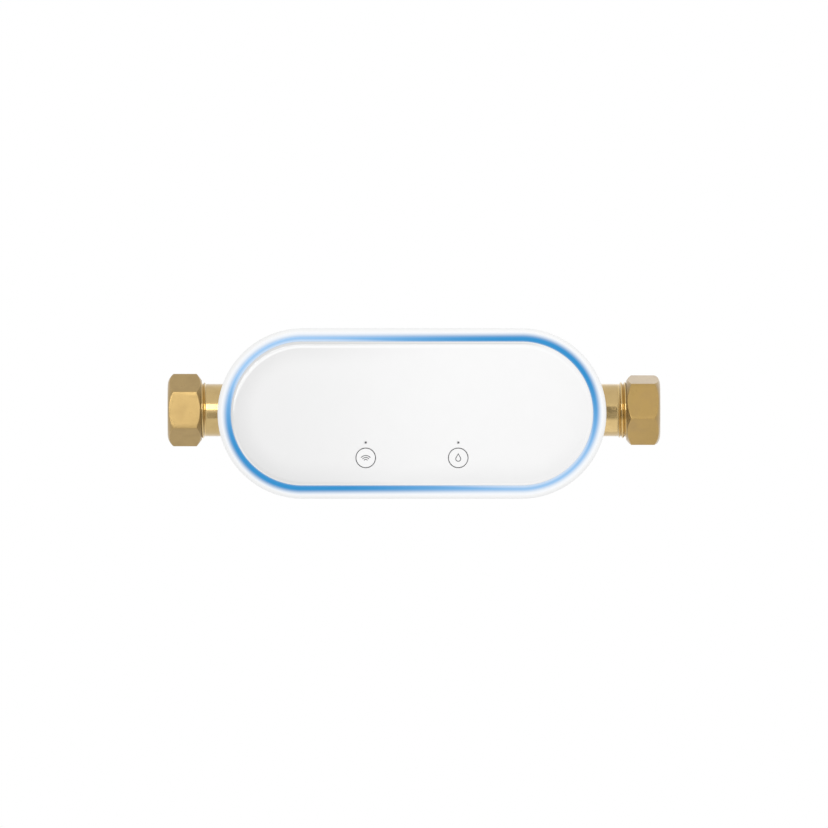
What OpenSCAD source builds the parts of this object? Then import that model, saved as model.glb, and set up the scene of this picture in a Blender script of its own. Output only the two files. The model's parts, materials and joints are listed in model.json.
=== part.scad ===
// Smart water valve: a motor-driven ball valve with a flow turbine, in a pill-shaped housing
// that sits in line with a pipe. Millimetres. The origin is on the pipe axis, where the inlet
// pipe stops in its socket; +X follows the flow, +Z is up and -Y faces the user. Pieces are
// drawn in plan, with x along the pipe from mid-housing, y up and z towards the front.

/* [Housing] */
// Length of the housing along the pipe
housing_length = 228; // [222:1:250]
// Height of the housing
housing_height = 100; // [98:1:112]
// Pipe axis to the front face of the panel
front_reach = 56; // [56:0.5:64]
// Pipe axis to the back face
back_reach = 32; // [31:0.5:40]
// How far the housing's mid-height lies below the pipe axis
housing_drop = 2; // [0:0.25:3]
// Wall of the two covers
wall = 3; // [2.8:0.1:3.4]
// Round of the back edge
back_round = 8; // [5:0.5:10]
// Round of the rim outside the light ring
rim_round = 6; // [5:0.5:7]
// Rim from the housing's outer edge to the panel's edge
rim_width = 7.8; // [7.4:0.1:9]

/* [Front panel] */
// Thickness of the panel's plate
panel_thick = 2.6; // [2:0.1:3.2]
// Round of the panel's edge
panel_round = 2.2; // [1:0.1:2.6]
// Distance between the two buttons
button_spacing = 54.2; // [40:0.2:70]
// Buttons below the housing's mid-height
button_drop = 26; // [22:0.5:27]
// Diameter of a button's cap
button_d = 11.4; // [9:0.2:12.6]
// How far a button travels
button_travel = 0.6; // [0.3:0.1:0.8]
// Indicator lights below the housing's mid-height
indicator_drop = 17; // [14:0.5:17.5]
// Diameter of an indicator's light pipe
indicator_d = 1.4; // [1:0.1:2]

/* [Light ring] */
// Visible width of the light ring
ring_width = 2.8; // [2:0.1:3]
// Depth of the light ring
ring_depth = 2.3; // [1.6:0.1:2.6]
// Width of the lit slope outside the light ring
slope_width = 2.2; // [1.6:0.1:2.6]

/* [Pipe connections] */
// Outside diameter of the pipe
pipe_d = 28; // [26:0.1:28.4]
// Outside diameter of the connection thread
thread_d = 33.25; // [32.8:0.05:34]
// Pitch of the connection thread
thread_pitch = 2.309; // [1.5:0.001:2.5]
// Length of the connection thread
thread_length = 13; // [12:0.5:15]
// Diameter of the bare neck behind the thread
neck_d = 30.9; // [30.6:0.1:31.6]
// Bare neck that shows outside the housing
neck_show = 7; // [5:0.5:12]
// How far the pipe goes into its socket
socket_depth = 18; // [15:0.5:19]
// Nut size across the flats
nut_flats = 37; // [36.5:0.1:40]
// Length of a nut
nut_length = 20; // [19:0.5:22]
// Thickness of a nut's end wall
nut_lip = 5; // [4:0.1:5.4]
// Thread that shows inside the inlet nut
inlet_nut_gap = 2.6; // [2.4:0.1:4]
// Thread that shows inside the outlet nut
outlet_nut_gap = 4.9; // [2.4:0.1:5]
// Turn of the outlet nut's front flat, upwards
outlet_nut_turn = 16; // [0:1:30]

/* [Valve] */
// Diameter of the water way
bore_d = 20; // [17:0.5:20.5]
// Diameter of the ball
ball_d = 30; // [29.5:0.1:31]
// Ball's centre, towards the inlet from the middle of the housing
ball_offset = 24; // [22:0.5:26]
// Length of each ball seat
seat_length = 8; // [7:0.25:9]
// Wall of the brass body round the ball
body_wall = 4.5; // [4:0.25:5]
// Diameter of the valve stem
stem_d = 8; // [7.2:0.2:8.6]

/* [Flow turbine] */
// Diameter of the turbine's chamber
turbine_bore_d = 24; // [23:0.25:26]
// Length of the turbine's chamber
turbine_length = 40; // [36:1:44]
// Diameter of the rotor
rotor_d = 19.6; // [18:0.2:20.4]
// Length of the rotor
rotor_length = 16; // [12:0.5:18]
// Number of rotor blades
rotor_blades = 6; // [4:1:8]
// Slant of the rotor blades
blade_slant = 35; // [20:1:45]
// Diameter of the rotor's axle
axle_d = 2; // [1.6:0.1:2.6]

/* [Drive] */
// Module of the gears
gear_module = 0.8; // [0.76:0.01:0.82]
// Pressure angle of the gears
pressure_angle = 25; // [22:1:26]
// Teeth of the motor's pinion
pinion_teeth = 12; // [12:1:13]
// Teeth of the idler's wheel
wheel_teeth = 36; // [34:1:37]
// Teeth of the idler's pinion
idler_teeth = 13; // [12:1:14]
// Teeth of the output gear
output_teeth = 45; // [43:1:46]
// Face width of the output gear
output_width = 6; // [5:0.25:6.5]
// Face width of the idler's wheel
wheel_width = 3.2; // [2.4:0.1:3.6]
// Diameter of the motor
motor_d = 24; // [20:0.5:25]
// Length of the motor's can
motor_length = 32; // [24:1:36]
// Motor's axis downstream of the ball
motor_ahead = 30; // [28:0.25:31]
// Motor's axis above the pipe axis
motor_up = 28; // [27:0.25:29]

/* [Electronics] */
// Thickness of the control board
board_thick = 1.6; // [1.2:0.1:2]
// Thickness of the light board
light_board_thick = 1.2; // [0.8:0.1:1.6]
// Light chips along each straight side
side_chips = 8; // [4:1:12]
// Light chips round each end
end_chips = 9; // [5:1:13]
// Bore of the power socket
power_bore_d = 10; // [8:0.5:11]
// Depth of the power socket's bore
power_bore_depth = 9; // [6:0.5:10]
// Power socket downstream of the middle of the housing
power_ahead = 40; // [34:0.5:42]

/* [Clearances] */
// Gap between pieces that are fixed together
slip = 0.1; // [0.06:0.01:0.14]
// Radial gap of a running fit
run = 0.05; // [0.03:0.01:0.08]
// Gap round pieces that move past each other
clear = 0.3; // [0.2:0.05:0.35]

/* [Hidden] */
$fn = 96;

// Overlap that fuses two shapes of one solid
weld = 0.5;

// The housing's outline is a pill round a straight spine
end_r = housing_height / 2;
spine_half = housing_length / 2 - end_r;
mid_y = -housing_drop;
inner_r = end_r - wall;
back_floor = -back_reach + wall;

// Lap joint between the covers
seam_chamfer = 0.4;
tongue_inset = 0.9;
tongue_cover = 1.1;
tongue_r0 = inner_r + tongue_inset;
tongue_r1 = end_r - tongue_cover;
tongue_h = 1.5;
gasket_h = 0.6;
groove_top = tongue_h + gasket_h + 2 * slip;

// Front stack, from the ledge up to the panel's face
panel_r = end_r - rim_width;
panel_skirt = 1.8;
panel_back = front_reach - panel_thick;
panel_depth = 6;
panel_foot = front_reach - panel_depth;
ledge_depth = 11;
ledge_z = front_reach - ledge_depth;
ledge_thick = 2;
ledge_width = 9.2;
ledge_r = panel_r - ledge_width;
carrier_wall = 2.2;
carrier_r1 = panel_r - panel_skirt - clear;
carrier_r0 = carrier_r1 - carrier_wall;
carrier_flange = 3.5;
carrier_flange_h = 1.4;
ring_gap = 0.2;
ring_r0 = panel_r + ring_gap;
ring_r1 = ring_r0 + ring_width;
chip_h = 0.6;
ring_z0 = ledge_z + light_board_thick + chip_h + slip;
ring_z1 = ring_z0 + ring_depth;
rim_r = ring_r1 + slip;
rim_foot = ring_z1 + ring_gap;
slope_rise = 1.5;
crest_r = ring_r1 + slope_width;
crest_angle = acos((crest_r - (end_r - rim_round)) / rim_round);
crest_z = rim_foot + slope_rise;
rim_z = crest_z - rim_round * sin(crest_angle);

// Screws that hold the covers together, inside the round ends
cover_screw_in = 4.6;
cover_screw_angle = 45;
cover_screw_x = spine_half + (inner_r - cover_screw_in) * cos(cover_screw_angle);
cover_screw_y = (inner_r - cover_screw_in) * sin(cover_screw_angle);
cover_boss_r = 5;
cover_screw_r = 1.5;
cover_screw_head_r = 3;
cover_screw_head_h = 2.5;
cover_screw_recess = 8.5;
cover_screw_seat = -back_reach + cover_screw_recess;
cover_screw_bite = 12;
cover_screw_spare = 2;
cover_key_r = 1.2;
cover_key_floor = 1;

// Saddles under the brass body
saddle_in = 12;
saddle_thick = 3;
saddle_side = 3;
saddle_sink = 2;

// Buttons and indicator lights
button_x = button_spacing / 2;
button_y = mid_y - button_drop;
indicator_y = mid_y - indicator_drop;
button_r = button_d / 2;
button_hole_r = button_r + clear;
button_flange = 1;
button_flange_r = button_hole_r + button_flange;
button_flange_top = panel_back - slip;
button_flange_h = 1.3;
button_stem_r = 2.2;
board_top = ledge_z + board_thick;
switch_side = 6;
switch_h = 3.2;
plunger_r = 1.7;
plunger_show = 0.8;
plunger_top = board_top + switch_h + plunger_show;
plunger_length = 2;
plunger_hole_floor = plunger_top - plunger_length - button_travel - clear;
indicator_collar = 0.6;
indicator_collar_h = 2;

// Control board
board_r = carrier_r0 - clear;
board_screw_in = [4, 2.3];
board_screw_x = spine_half - board_screw_in[0];
board_screw_y = board_r - board_screw_in[1];
board_screw_r = 1.15;
board_head_r = 2;
board_head_h = 1.3;
plug_size = [10, 6];
plug_wall = 1;
plug_h = 6;
plug_floor = 2;
plug_bite = 2;
plug_spacing = 14;
plug_place = [6, 16];
radio_board = [25, 18];
radio_board_h = 1;
radio_can = [18, 16];
radio_can_h = 3.2;
radio_can_in = 3;
sense_chip = [5, 4];
sense_chip_h = 0.8;

// Pipe connections; each is drawn on the outlet side and turned round for the inlet
thread_r = thread_d / 2;
thread_depth = 1.2;
thread_root_r = thread_r - thread_depth;
thread_runout = 1;
neck_r = neck_d / 2;
thread_x = housing_length / 2 + neck_show;
mouth_x = thread_x + thread_length;
socket_r = pipe_d / 2 + slip;
socket_x = mouth_x - socket_depth;
mouth_cone = 5;
mouth_edge = 0.6;
mouth_r = thread_r - mouth_edge;
nut_corner_r = nut_flats / 2 / cos(30);
nut_bore_r = thread_r + slip;
nut_hole_r = socket_r + slip;
nut_face_edge = 0.2;
nut_face_r = nut_hole_r + nut_face_edge;
nut_crown_share = 1.24;
nut_crown_r = nut_crown_share * (nut_corner_r - nut_face_r);
nut_inner_angle = 38;
olive_length = 7.6;
olive_bore_r = socket_r + run;
olive_edge = 0.4;
olive_end_r = socket_r + olive_edge;
olive_ease = 0.2;
olive_mid_r = mouth_r - olive_ease;
olive_in = 3.2;
olive_x = mouth_x - olive_in;
nut_edge = 0.8;
collar_length = 11;
collar_x = housing_length / 2 - collar_length;
collar_wall = 5;
neck_seal_in = 2;
neck_seal_width = 2.4;
neck_seal_r = neck_r + slip + neck_seal_width;

// Brass body along the pipe axis
bore_r = bore_d / 2;
ball_r = ball_d / 2;
ball_x = -ball_offset;
ball_gap = 0.5;
chamber_r = ball_r + ball_gap;
body_r = chamber_r + body_wall;
seat_back = 1;
seat_end = ball_r + seat_back;
seat_ease = 0.2;
chamber_x1 = ball_x + seat_end;
spigot_x = ball_x - seat_end;
spigot_length = 30;
body_x0 = spigot_x - spigot_length;
throat_r = 14;
chamber_end = 4;
throat_x0 = chamber_x1 + chamber_end;
throat_length = 26;
turbine_x0 = throat_x0 + throat_length;
turbine_x1 = turbine_x0 + turbine_length;
turbine_r = turbine_bore_d / 2;
counterbore_step = 3.3;
counterbore_r = turbine_r + counterbore_step;
counterbore_length = 14;
body_x1 = turbine_x1 + counterbore_length;
turbine_wall = 2.7;
turbine_body_r = counterbore_r + turbine_wall;
turbine_end = 2;
flange_cover = 3.5;
flange_flats = 2 * (chamber_r + flange_cover);
flange_length = 6;
way_step = 2.5;
way_r = bore_r + way_step;
groove_in = 8;
seal_groove = 2;
seal_r = 0.9;
sensor_ahead = 12;
sensor_x = throat_x0 + sensor_ahead;
flow_pad = 14;
flow_pad_h = 1;
flow_pad_z = turbine_body_r + flow_pad_h;
flow_sensor_base = [12, 12];
flow_sensor_base_h = 2;
flow_sensor_cap = [6, 5];
flow_sensor_h = 5;
pressure_boss_r = 7;
pressure_boss_h = 5;
pressure_face = throat_r + pressure_boss_h;
pressure_way_r = 1.5;
pressure_well = 2;
pressure_shank_r = 4;
pressure_shank_gap = 0.5;
pressure_seal_r = 6.6;
pressure_seal_h = 1.5;
pressure_hex_r = 8;
pressure_hex_h = 5;
pressure_can_r = 7;
pressure_plug = [7, 5];
pressure_plug_h = 4;
pressure_length = 21;
probe_boss_r = 5.5;
probe_boss_h = 4;
probe_face = throat_r + probe_boss_h;
probe_r = 2.5;
probe_reach = 3;
probe_hex_r = 5.4;
probe_hex_h = 3.5;
probe_tail = 7;

// Depth of the drive, from the chip under the board back to the bonnet
base_floor = 2;
gear_room = 1;
wheel_gap = 0.8;
gearbox_lid = 1.6;
magnet_r = 3.5;
magnet_h = 1.3;
magnet_gap = 0.2;
stem_top = ledge_z - sense_chip_h - magnet_gap - magnet_h;
lid_z = stem_top - slip;
gearbox_top = lid_z - gearbox_lid;
wheel_z = gearbox_top - gear_room - wheel_width;
output_z = wheel_z - wheel_gap - output_width;
bonnet_z = output_z - gear_room - base_floor;

// Valve stem, from the ball's slot to the magnet on its end
stem_r = stem_d / 2;
slot_width = 5;
slot_wall = 1;
slot_floor = bore_r + slot_wall;
tang_length = 9;
stem_flange = 2;
stem_flange_r = stem_r + stem_flange;
stem_flange_sink = 0.2;
stem_flange_z = chamber_r - stem_flange_sink;
stem_flange_h = 2.7;
stem_flange_top = stem_flange_z + stem_flange_h;
stem_boss = 5;
stem_boss_r = stem_r + stem_boss;
gland_width = 2.5;
gland_r = stem_r + gland_width;
bonnet_side = 36;
bonnet_thick = 3;
bonnet_screw_r = 1.5;
bonnet_head_r = 2.4;
bonnet_screw_in = 3.5;
bonnet_screw_at = bonnet_side / 2 - bonnet_screw_in;
gland_room = bonnet_z - stem_flange_top;
gland_share = 0.28;
gland_length = gland_share * gland_room;
packing_share = 0.27;
packing_length = packing_share * gland_room;
packing_z = bonnet_z - gland_length - packing_length - slip;

// Gear train, seen from the front
gear_clear = 1.25;
gear_backlash = 0.16;
gear_root_sink = 0.01;
drive_share = 0.7;
drive_side = stem_d * drive_share;
output_at = [ball_x, 0];
motor_at = [ball_x + motor_ahead, motor_up];
near_centres = gear_module * (output_teeth + idler_teeth) / 2;
far_centres = gear_module * (wheel_teeth + pinion_teeth) / 2;
motor_span = norm(motor_at - output_at);
motor_way = (motor_at - output_at) / motor_span;
idler_along = (motor_span ^ 2 + near_centres ^ 2 - far_centres ^ 2) / (2 * motor_span);
idler_aside = sqrt(near_centres ^ 2 - idler_along ^ 2);
idler_at = output_at + idler_along * motor_way + idler_aside * [-motor_way[1], motor_way[0]];
idler_pin_r = 1.5;
idler_foot = 0.6;
shaft_r = 1.5;
shaft_in = 5;
shaft_hole_in = 6;
pinion_below = 1;
pinion_above = 0.4;
motor_spigot_r = 5;
motor_cap_r = 4;
motor_cap = 2;
box_wall = 2;
pinion_room = 1.5;
box_screw_floor = 2;
box_screw_end = 4;
box_x0 = ball_x - tip_r(output_teeth) - gear_room - box_wall;
box_x1 = motor_at[0] + tip_r(pinion_teeth) + pinion_room + box_wall;
box_y0 = -tip_r(output_teeth) - gear_room - box_wall;
box_y1 = max(motor_up + tip_r(pinion_teeth), idler_at[1] + tip_r(wheel_teeth))
    + gear_room + box_wall;
box_screw_in = 3.2;
box_post_r = 5;
box_screw_r = 1.1;
box_head_r = 2;
box_head_h = 0.8;
box_screws = [
    [box_x0 + box_screw_in, box_y0 + box_screw_in], [box_x1 - box_screw_in, box_y0 + box_screw_in],
    [box_x0 + box_screw_in, box_y1 - box_screw_in], [box_x1 - box_screw_in, motor_up / 2]
];

// Flow turbine
rotor_r = rotor_d / 2;
axle_r = axle_d / 2;
hub_r = 3.9;
blade_root = 1;
axle_in = 2;
sleeve_wall = 1.4;
sleeve_r0 = turbine_r - sleeve_wall;
sleeve_r1 = turbine_r - slip;
vane_thick = 1.2;
straightener_length = 9;
rotor_x = turbine_x0 + turbine_length / 2;
magnet_hole_r = 1;
magnet_hole_floor = 2;
vane_sink = 0.4;
rotor_magnet_at = (hub_r + axle_r) / 2;

// Cables inside the housing
lead_r = 1;
pressure_tail = -pressure_face - pressure_length;
lead_room = pressure_tail - mid_y + inner_r;

// Power socket, in the underside
power_r = power_bore_d / 2;
power_shell = 3;
power_shell_r = power_r + power_shell;
power_flange = 2;
power_flange_r = power_shell_r + power_flange;
power_end = 5;
power_length = power_bore_depth + power_end;
contact_r = 0.6;
contact_depth = 3;
power_z = -14;
underside_y = mid_y - end_r;

// Points along an arc, from one angle to another
function arc(centre, r, from, to, steps = 8) =
    [for (i = [0:steps]) let (a = from + (to - from) * i / steps) centre + r * [cos(a), sin(a)]];

// Point at a radius and an angle
function polar(r, a) = r * [cos(a), sin(a)];

// Involute function of an angle, in degrees
function involute(a) = tan(a) * 180 / PI - a;

// Radius at the tips of a gear's teeth
function tip_r(teeth) = gear_module * (teeth / 2 + 1);

// Angle of half a tooth's pitch
function half_pitch(teeth) = 180 / teeth;

// Half the angle that a gear's tooth fills at radius r
function tooth_half(teeth, r) =
    let (pitch_r = gear_module * teeth / 2, base_r = pitch_r * cos(pressure_angle))
    90 / teeth - gear_backlash / 2 / pitch_r * 180 / PI / 2
        + involute(pressure_angle) - involute(acos(min(1, base_r / r)));

// Outline of an involute spur gear with one tooth on the +X axis
function gear_outline(teeth, steps = 4) =
    let (
        pitch_r = gear_module * teeth / 2,
        root_r = pitch_r - gear_clear * gear_module,
        top_r = tip_r(teeth),
        low_r = max(root_r, pitch_r * cos(pressure_angle)),
        flank = [for (i = [0:steps]) low_r + (top_r - low_r) * i / steps]
    )
    [for (t = [0:teeth - 1]) let (at = 360 * t / teeth) each concat(
        [polar(root_r - gear_root_sink, at - tooth_half(teeth, low_r))],
        [for (r = flank) polar(r, at - tooth_half(teeth, r))],
        [for (i = [steps:-1:0]) polar(flank[i], at + tooth_half(teeth, flank[i]))],
        [polar(root_r - gear_root_sink, at + tooth_half(teeth, low_r))]
    )];

// Where a plug connector meets the underside of the board
function plug_at(i) = [
    turbine_x0 + plug_place[0] + plug_spacing * i, mid_y + plug_place[1], ledge_z
];

// Where a lead ends in a plug connector, off to one side of its middle
function plug_end(i, aside = 0) = plug_at(i) + [aside, 0, -plug_floor - plug_bite];

// Point on a smooth curve from b to c, with a before it and d after it
function curve_point(a, b, c, d, t) =
    (2 * b + (c - a) * t + (2 * a - 5 * b + 4 * c - d) * t ^ 2
        + (3 * b - 3 * c + d - a) * t ^ 3) / 2;

// Points along a smooth curve through the route's points
function smooth(route, steps = 3) =
    let (last = len(route) - 1)
    concat([for (i = [0:last - 1], s = [0:steps - 1])
        curve_point(route[max(i - 1, 0)], route[i], route[i + 1], route[min(i + 2, last)], s / steps)
    ], [route[last]]);

// Ring of points round one point of a path, square to the path
function path_ring(path, i, r, sides) =
    let (
        along = path[min(i + 1, len(path) - 1)] - path[max(i - 1, 0)],
        across = cross(along, [1, 0, 0]) / norm(cross(along, [1, 0, 0])),
        over = cross(along, across) / norm(along)
    )
    [for (k = [0:sides - 1]) path[i] + r * (cos(360 * k / sides) * across + sin(360 * k / sides) * over)];

// Angle from one point to another
function heading(from, to) = atan2(to[1] - from[1], to[0] - from[0]);

// Stands a plan drawing up, with z facing the user, and moves it to the part's origin
module upright() {
    translate([socket_x, 0, 0]) rotate([90, 0, 0]) children();
}

// Sweeps a section of [distance from the spine, depth] points round the housing
module round_spine(section) {
    translate([0, mid_y, 0]) {
        for (side = [-1, 1])
            translate([side * spine_half, 0, 0])
                rotate([0, 0, -90 * side])
                    rotate_extrude(angle = 180) polygon(section);
        rotate([90, 0, 90])
            linear_extrude(height = 2 * spine_half, center = true) {
                polygon(section);
                mirror([1, 0]) polygon(section);
            }
    }
}

// A plain pill-shaped slab from one depth to another
module pill_slab(r, z0, z1) {
    round_spine([[0, z0], [r, z0], [r, z1], [0, z1]]);
}

// A pill-shaped band between two distances from the spine
module pill_band(r0, r1, z0, z1) {
    round_spine([[r0, z0], [r1, z0], [r1, z1], [r0, z1]]);
}

// Turns a profile of [radius, place along the pipe] points about the pipe axis
module pipe_turn(profile) {
    rotate([0, 90, 0]) rotate_extrude() polygon(profile);
}

// A plain tube on the pipe axis
module pipe_ring(r0, r1, x0, x1) {
    pipe_turn([[r0, x0], [r1, x0], [r1, x1], [r0, x1]]);
}

// A rod on the pipe axis
module pipe_rod(r, x0, x1) {
    translate([x0, 0, 0]) rotate([0, 90, 0]) cylinder(r = r, h = x1 - x0);
}

// A hexagonal bar on the pipe axis, with its front flat turned up from facing the user
module pipe_hex(flats, x0, x1, turn = 0) {
    translate([x0, 0, 0]) rotate([-turn, 0, 0]) rotate([0, 90, 0]) rotate([0, 0, 30])
        cylinder(r = flats / 2 / cos(30), h = x1 - x0, $fn = 6);
}

// A tube that stands towards the front
module post(r0, r1, z0, z1) {
    translate([0, 0, z0]) difference() {
        cylinder(r = r1, h = z1 - z0);
        translate([0, 0, -weld]) cylinder(r = r0, h = z1 - z0 + 2 * weld);
    }
}

// A rod that stands towards the front
module rod(r, z0, z1) {
    translate([0, 0, z0]) cylinder(r = r, h = z1 - z0);
}

// A box centred on x and y, from one depth to another
module block(size, z0, z1) {
    translate([-size[0] / 2, -size[1] / 2, z0]) cube([size[0], size[1], z1 - z0]);
}

// Puts copies at the housing's four cover screws
module at_cover_screws() {
    for (x = [-1, 1], y = [-1, 1])
        translate([x * cover_screw_x, mid_y + y * cover_screw_y, 0]) children();
}

// Puts copies at the control board's four screws
module at_board_screws() {
    for (x = [-1, 1], y = [-1, 1])
        translate([x * board_screw_x, mid_y + y * board_screw_y, 0]) children();
}

// Puts copies at the gearbox's lid screws: three corners, and the edge below the motor
module at_box_screws() {
    for (at = box_screws) translate([at[0], at[1], 0]) children();
}

// Half of the collar that carries a neck seal, at both ends of a cover
module neck_collars(z0, z1) {
    intersection() {
        for (side = [0, 180])
            rotate([0, 0, side]) pipe_rod(neck_r + collar_wall, collar_x, housing_length / 2);
        pill_slab(end_r - wall / 2, z0, z1);
    }
}

// The ways that the necks and their seals take out of the two covers
module neck_ways() {
    for (side = [0, 180]) rotate([0, 0, side]) {
        pipe_rod(neck_r + clear, collar_x - weld, housing_length / 2 + weld);
        translate([collar_x + neck_seal_in, 0, 0])
            pipe_rod(neck_seal_r + slip, 0, neck_seal_width + 2 * slip);
    }
}

// The stretch of the lap joint that the neck collars take up
module lap_gaps() {
    for (side = [-1, 1])
        translate([side * housing_length / 2, 0, 0])
            block([2 * (housing_length / 2 - collar_x), 2 * (neck_r + collar_wall + slip)], 0,
                  groove_top + weld);
}

// Front half of the casing, with the rim, the ledge and the screw bosses
module front_cover() {
    section = concat(
        [[end_r - seam_chamfer, 0], [end_r, seam_chamfer]],
        arc([end_r - rim_round, rim_z], rim_round, 0, crest_angle),
        [[rim_r, rim_foot], [rim_r, ledge_z], [ledge_r, ledge_z],
         [ledge_r, ledge_z - ledge_thick], [inner_r, ledge_z - ledge_thick], [inner_r, 0],
         [tongue_r0 - slip, 0], [tongue_r0 - slip, groove_top],
         [tongue_r1 + slip, groove_top], [tongue_r1 + slip, 0]]
    );
    color("white") upright() difference() {
        union() {
            round_spine(section);
            at_cover_screws() rod(cover_boss_r, 0, ledge_z - ledge_thick + weld);
            neck_collars(0, neck_r + collar_wall + weld);
        }
        neck_ways();
        at_cover_screws() rod(cover_screw_r + run, -weld, cover_screw_bite + cover_screw_spare);
        at_board_screws() rod(board_screw_r + run, ledge_z - ledge_thick - weld, ledge_z + weld);
    }
}

// Back half of the casing, with the saddles that carry the brass body
module rear_cover() {
    round_z = -back_reach + back_round;
    section = concat(
        [[end_r - seam_chamfer, 0], [tongue_r1, 0], [tongue_r1, tongue_h],
         [tongue_r0, tongue_h], [tongue_r0, 0], [inner_r, 0]],
        arc([end_r - back_round, round_z], back_round - wall, 0, -90),
        [[0, back_floor], [0, -back_reach]],
        arc([end_r - back_round, round_z], back_round, -90, 0),
        [[end_r, -seam_chamfer]]
    );
    color("white") upright() difference() {
        union() {
            round_spine(section);
            at_cover_screws() rod(cover_boss_r, back_floor - weld, 0);
            neck_collars(-neck_r - collar_wall - weld, 0);
            saddle(body_x0 + saddle_in, body_r);
            saddle(turbine_x1 - saddle_in, turbine_body_r);
        }
        neck_ways();
        lap_gaps();
        at_cover_screws() {
            rod(cover_screw_r + slip, -back_reach - weld, weld);
            rod(cover_screw_head_r + clear, -back_reach - weld, cover_screw_seat);
        }
        power_axis() rod(power_shell_r + slip, -wall - weld, power_length);
    }
}

// Upright rib with a half-round notch under the brass body
module saddle(x, r) {
    difference() {
        translate([x, 0, 0])
            block([saddle_thick, 2 * (r + saddle_side)], back_floor - weld, -saddle_sink);
        pipe_rod(r + slip, x - saddle_thick, x + saddle_thick);
    }
}

// Cord seal in the lap joint between the covers
module cover_gasket() {
    color("dimgray") upright() difference() {
        pill_band(tongue_r0, tongue_r1, tongue_h + slip, tongue_h + slip + gasket_h);
        lap_gaps();
    }
}

// Four screws that hold the covers together, driven from the back
module cover_screws() {
    color("silver") upright() at_cover_screws() difference() {
        union() {
            rod(cover_screw_r, cover_screw_seat - weld, cover_screw_bite);
            rod(cover_screw_head_r, cover_screw_seat - cover_screw_head_h, cover_screw_seat);
        }
        rod(cover_key_r, cover_screw_seat - cover_screw_head_h - weld,
            cover_screw_seat - cover_key_floor, $fn = 6);
    }
}

// Ring seals where the necks leave the housing
module neck_seals() {
    color("dimgray") upright() for (side = [0, 180])
        rotate([0, 0, side])
            translate([collar_x + neck_seal_in + slip, 0, 0])
                pipe_ring(neck_r + slip, neck_seal_r, 0, neck_seal_width);
}

// Glossy front plate with a rounded edge and a skirt, pierced for buttons and indicators
module front_panel() {
    section = concat(
        [[0, panel_back], [panel_r - panel_skirt, panel_back], [panel_r - panel_skirt, panel_foot],
         [panel_r, panel_foot]],
        arc([panel_r - panel_round, front_reach - panel_round], panel_round, 0, 90),
        [[0, front_reach]]
    );
    color("whitesmoke") upright() difference() {
        round_spine(section);
        for (side = [-1, 1]) {
            translate([side * button_x, button_y, 0])
                rod(button_hole_r, panel_back - weld, front_reach + weld);
            translate([side * button_x, indicator_y, 0])
                rod(indicator_d / 2 + slip, panel_back - weld, front_reach + weld);
        }
    }
}

// Frame that stands on the ledge and carries the panel
module panel_carrier() {
    top = panel_back - slip;
    color("gainsboro") upright() difference() {
        round_spine([
            [carrier_r0, ledge_z], [carrier_r1, ledge_z], [carrier_r1, top],
            [carrier_r1 - carrier_flange, top], [carrier_r1 - carrier_flange, top - carrier_flange_h],
            [carrier_r0, top - carrier_flange_h]
        ]);
        for (side = [-1, 1])
            translate([side * button_x, button_y, 0])
                rod(button_flange_r + clear, ledge_z - weld, panel_back);
    }
}

// Translucent light guide that shows round the panel
module light_ring() {
    edge = 0.3;
    color("deepskyblue") upright() round_spine([
        [ring_r0, ring_z0], [ring_r1, ring_z0], [ring_r1, ring_z1 - edge],
        [ring_r1 - edge, ring_z1], [ring_r0 + edge, ring_z1], [ring_r0, ring_z1 - edge]
    ]);
}

// Ring-shaped board under the light guide
module light_board() {
    color("darkgreen") upright()
        pill_band(carrier_r1 + clear, ring_r1, ledge_z, ledge_z + light_board_thick);
}

// Light chips on the ring-shaped board, and one under each indicator
module light_chips() {
    chip = [2, 1.4];
    chip_r = (ring_r0 + ring_r1) / 2;
    chip_z = ledge_z + light_board_thick;
    color("lightyellow") upright() {
        translate([0, mid_y, 0]) for (side = [-1, 1]) {
            for (i = [0:side_chips - 1])
                translate([spine_half * (2 * i + 1 - side_chips) / side_chips, side * chip_r, 0])
                    block(chip, chip_z, chip_z + chip_h);
            for (i = [0:end_chips - 1])
                translate([side * spine_half, 0, 0])
                    rotate([0, 0, side * 180 * ((i + 0.5) / end_chips - 0.5)])
                        translate([side * chip_r, 0, 0]) rotate([0, 0, 90])
                            block(chip, chip_z, chip_z + chip_h);
        }
        for (side = [-1, 1])
            translate([side * button_x, indicator_y, 0])
                block(chip, board_top, board_top + chip_h);
    }
}

// Push button: cap, retaining flange and stem
module button(side) {
    color("whitesmoke") upright() translate([side * button_x, button_y, 0]) {
        rod(button_r, button_flange_top - weld, front_reach);
        rod(button_flange_r, button_flange_top - button_flange_h, button_flange_top);
        rod(button_stem_r, plunger_top, button_flange_top - weld);
    }
}

// Plunger of the switch under a button
module plunger(side) {
    color("dimgray") upright() translate([side * button_x, button_y, 0])
        rod(plunger_r, plunger_top - plunger_length, plunger_top);
}

// Body of the switch under a button
module switch_body(side) {
    color("black") upright() translate([side * button_x, button_y, 0]) difference() {
        block([switch_side, switch_side], board_top, board_top + switch_h);
        rod(plunger_r + slip, plunger_hole_floor, board_top + switch_h + weld);
    }
}

// Light pipe from a chip on the board to the panel's face
module indicator(side) {
    color("slategray") upright() translate([side * button_x, indicator_y, 0]) {
        rod(indicator_d / 2, board_top + chip_h + slip, front_reach);
        rod(indicator_d / 2 + indicator_collar, panel_back - indicator_collar_h - slip,
            panel_back - slip);
    }
}

module connection_button() { button(-1); }
module water_button() { button(1); }
module connection_plunger() { plunger(-1); }
module water_plunger() { plunger(1); }
module connection_switch() { switch_body(-1); }
module water_switch() { switch_body(1); }
module connection_indicator() { indicator(-1); }
module water_indicator() { indicator(1); }

// Main circuit board, lying on the ledge
module control_board() {
    color("darkgreen") upright() difference() {
        pill_slab(board_r, ledge_z, board_top);
        at_board_screws() rod(board_screw_r + slip, ledge_z - weld, board_top + weld);
    }
}

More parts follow.
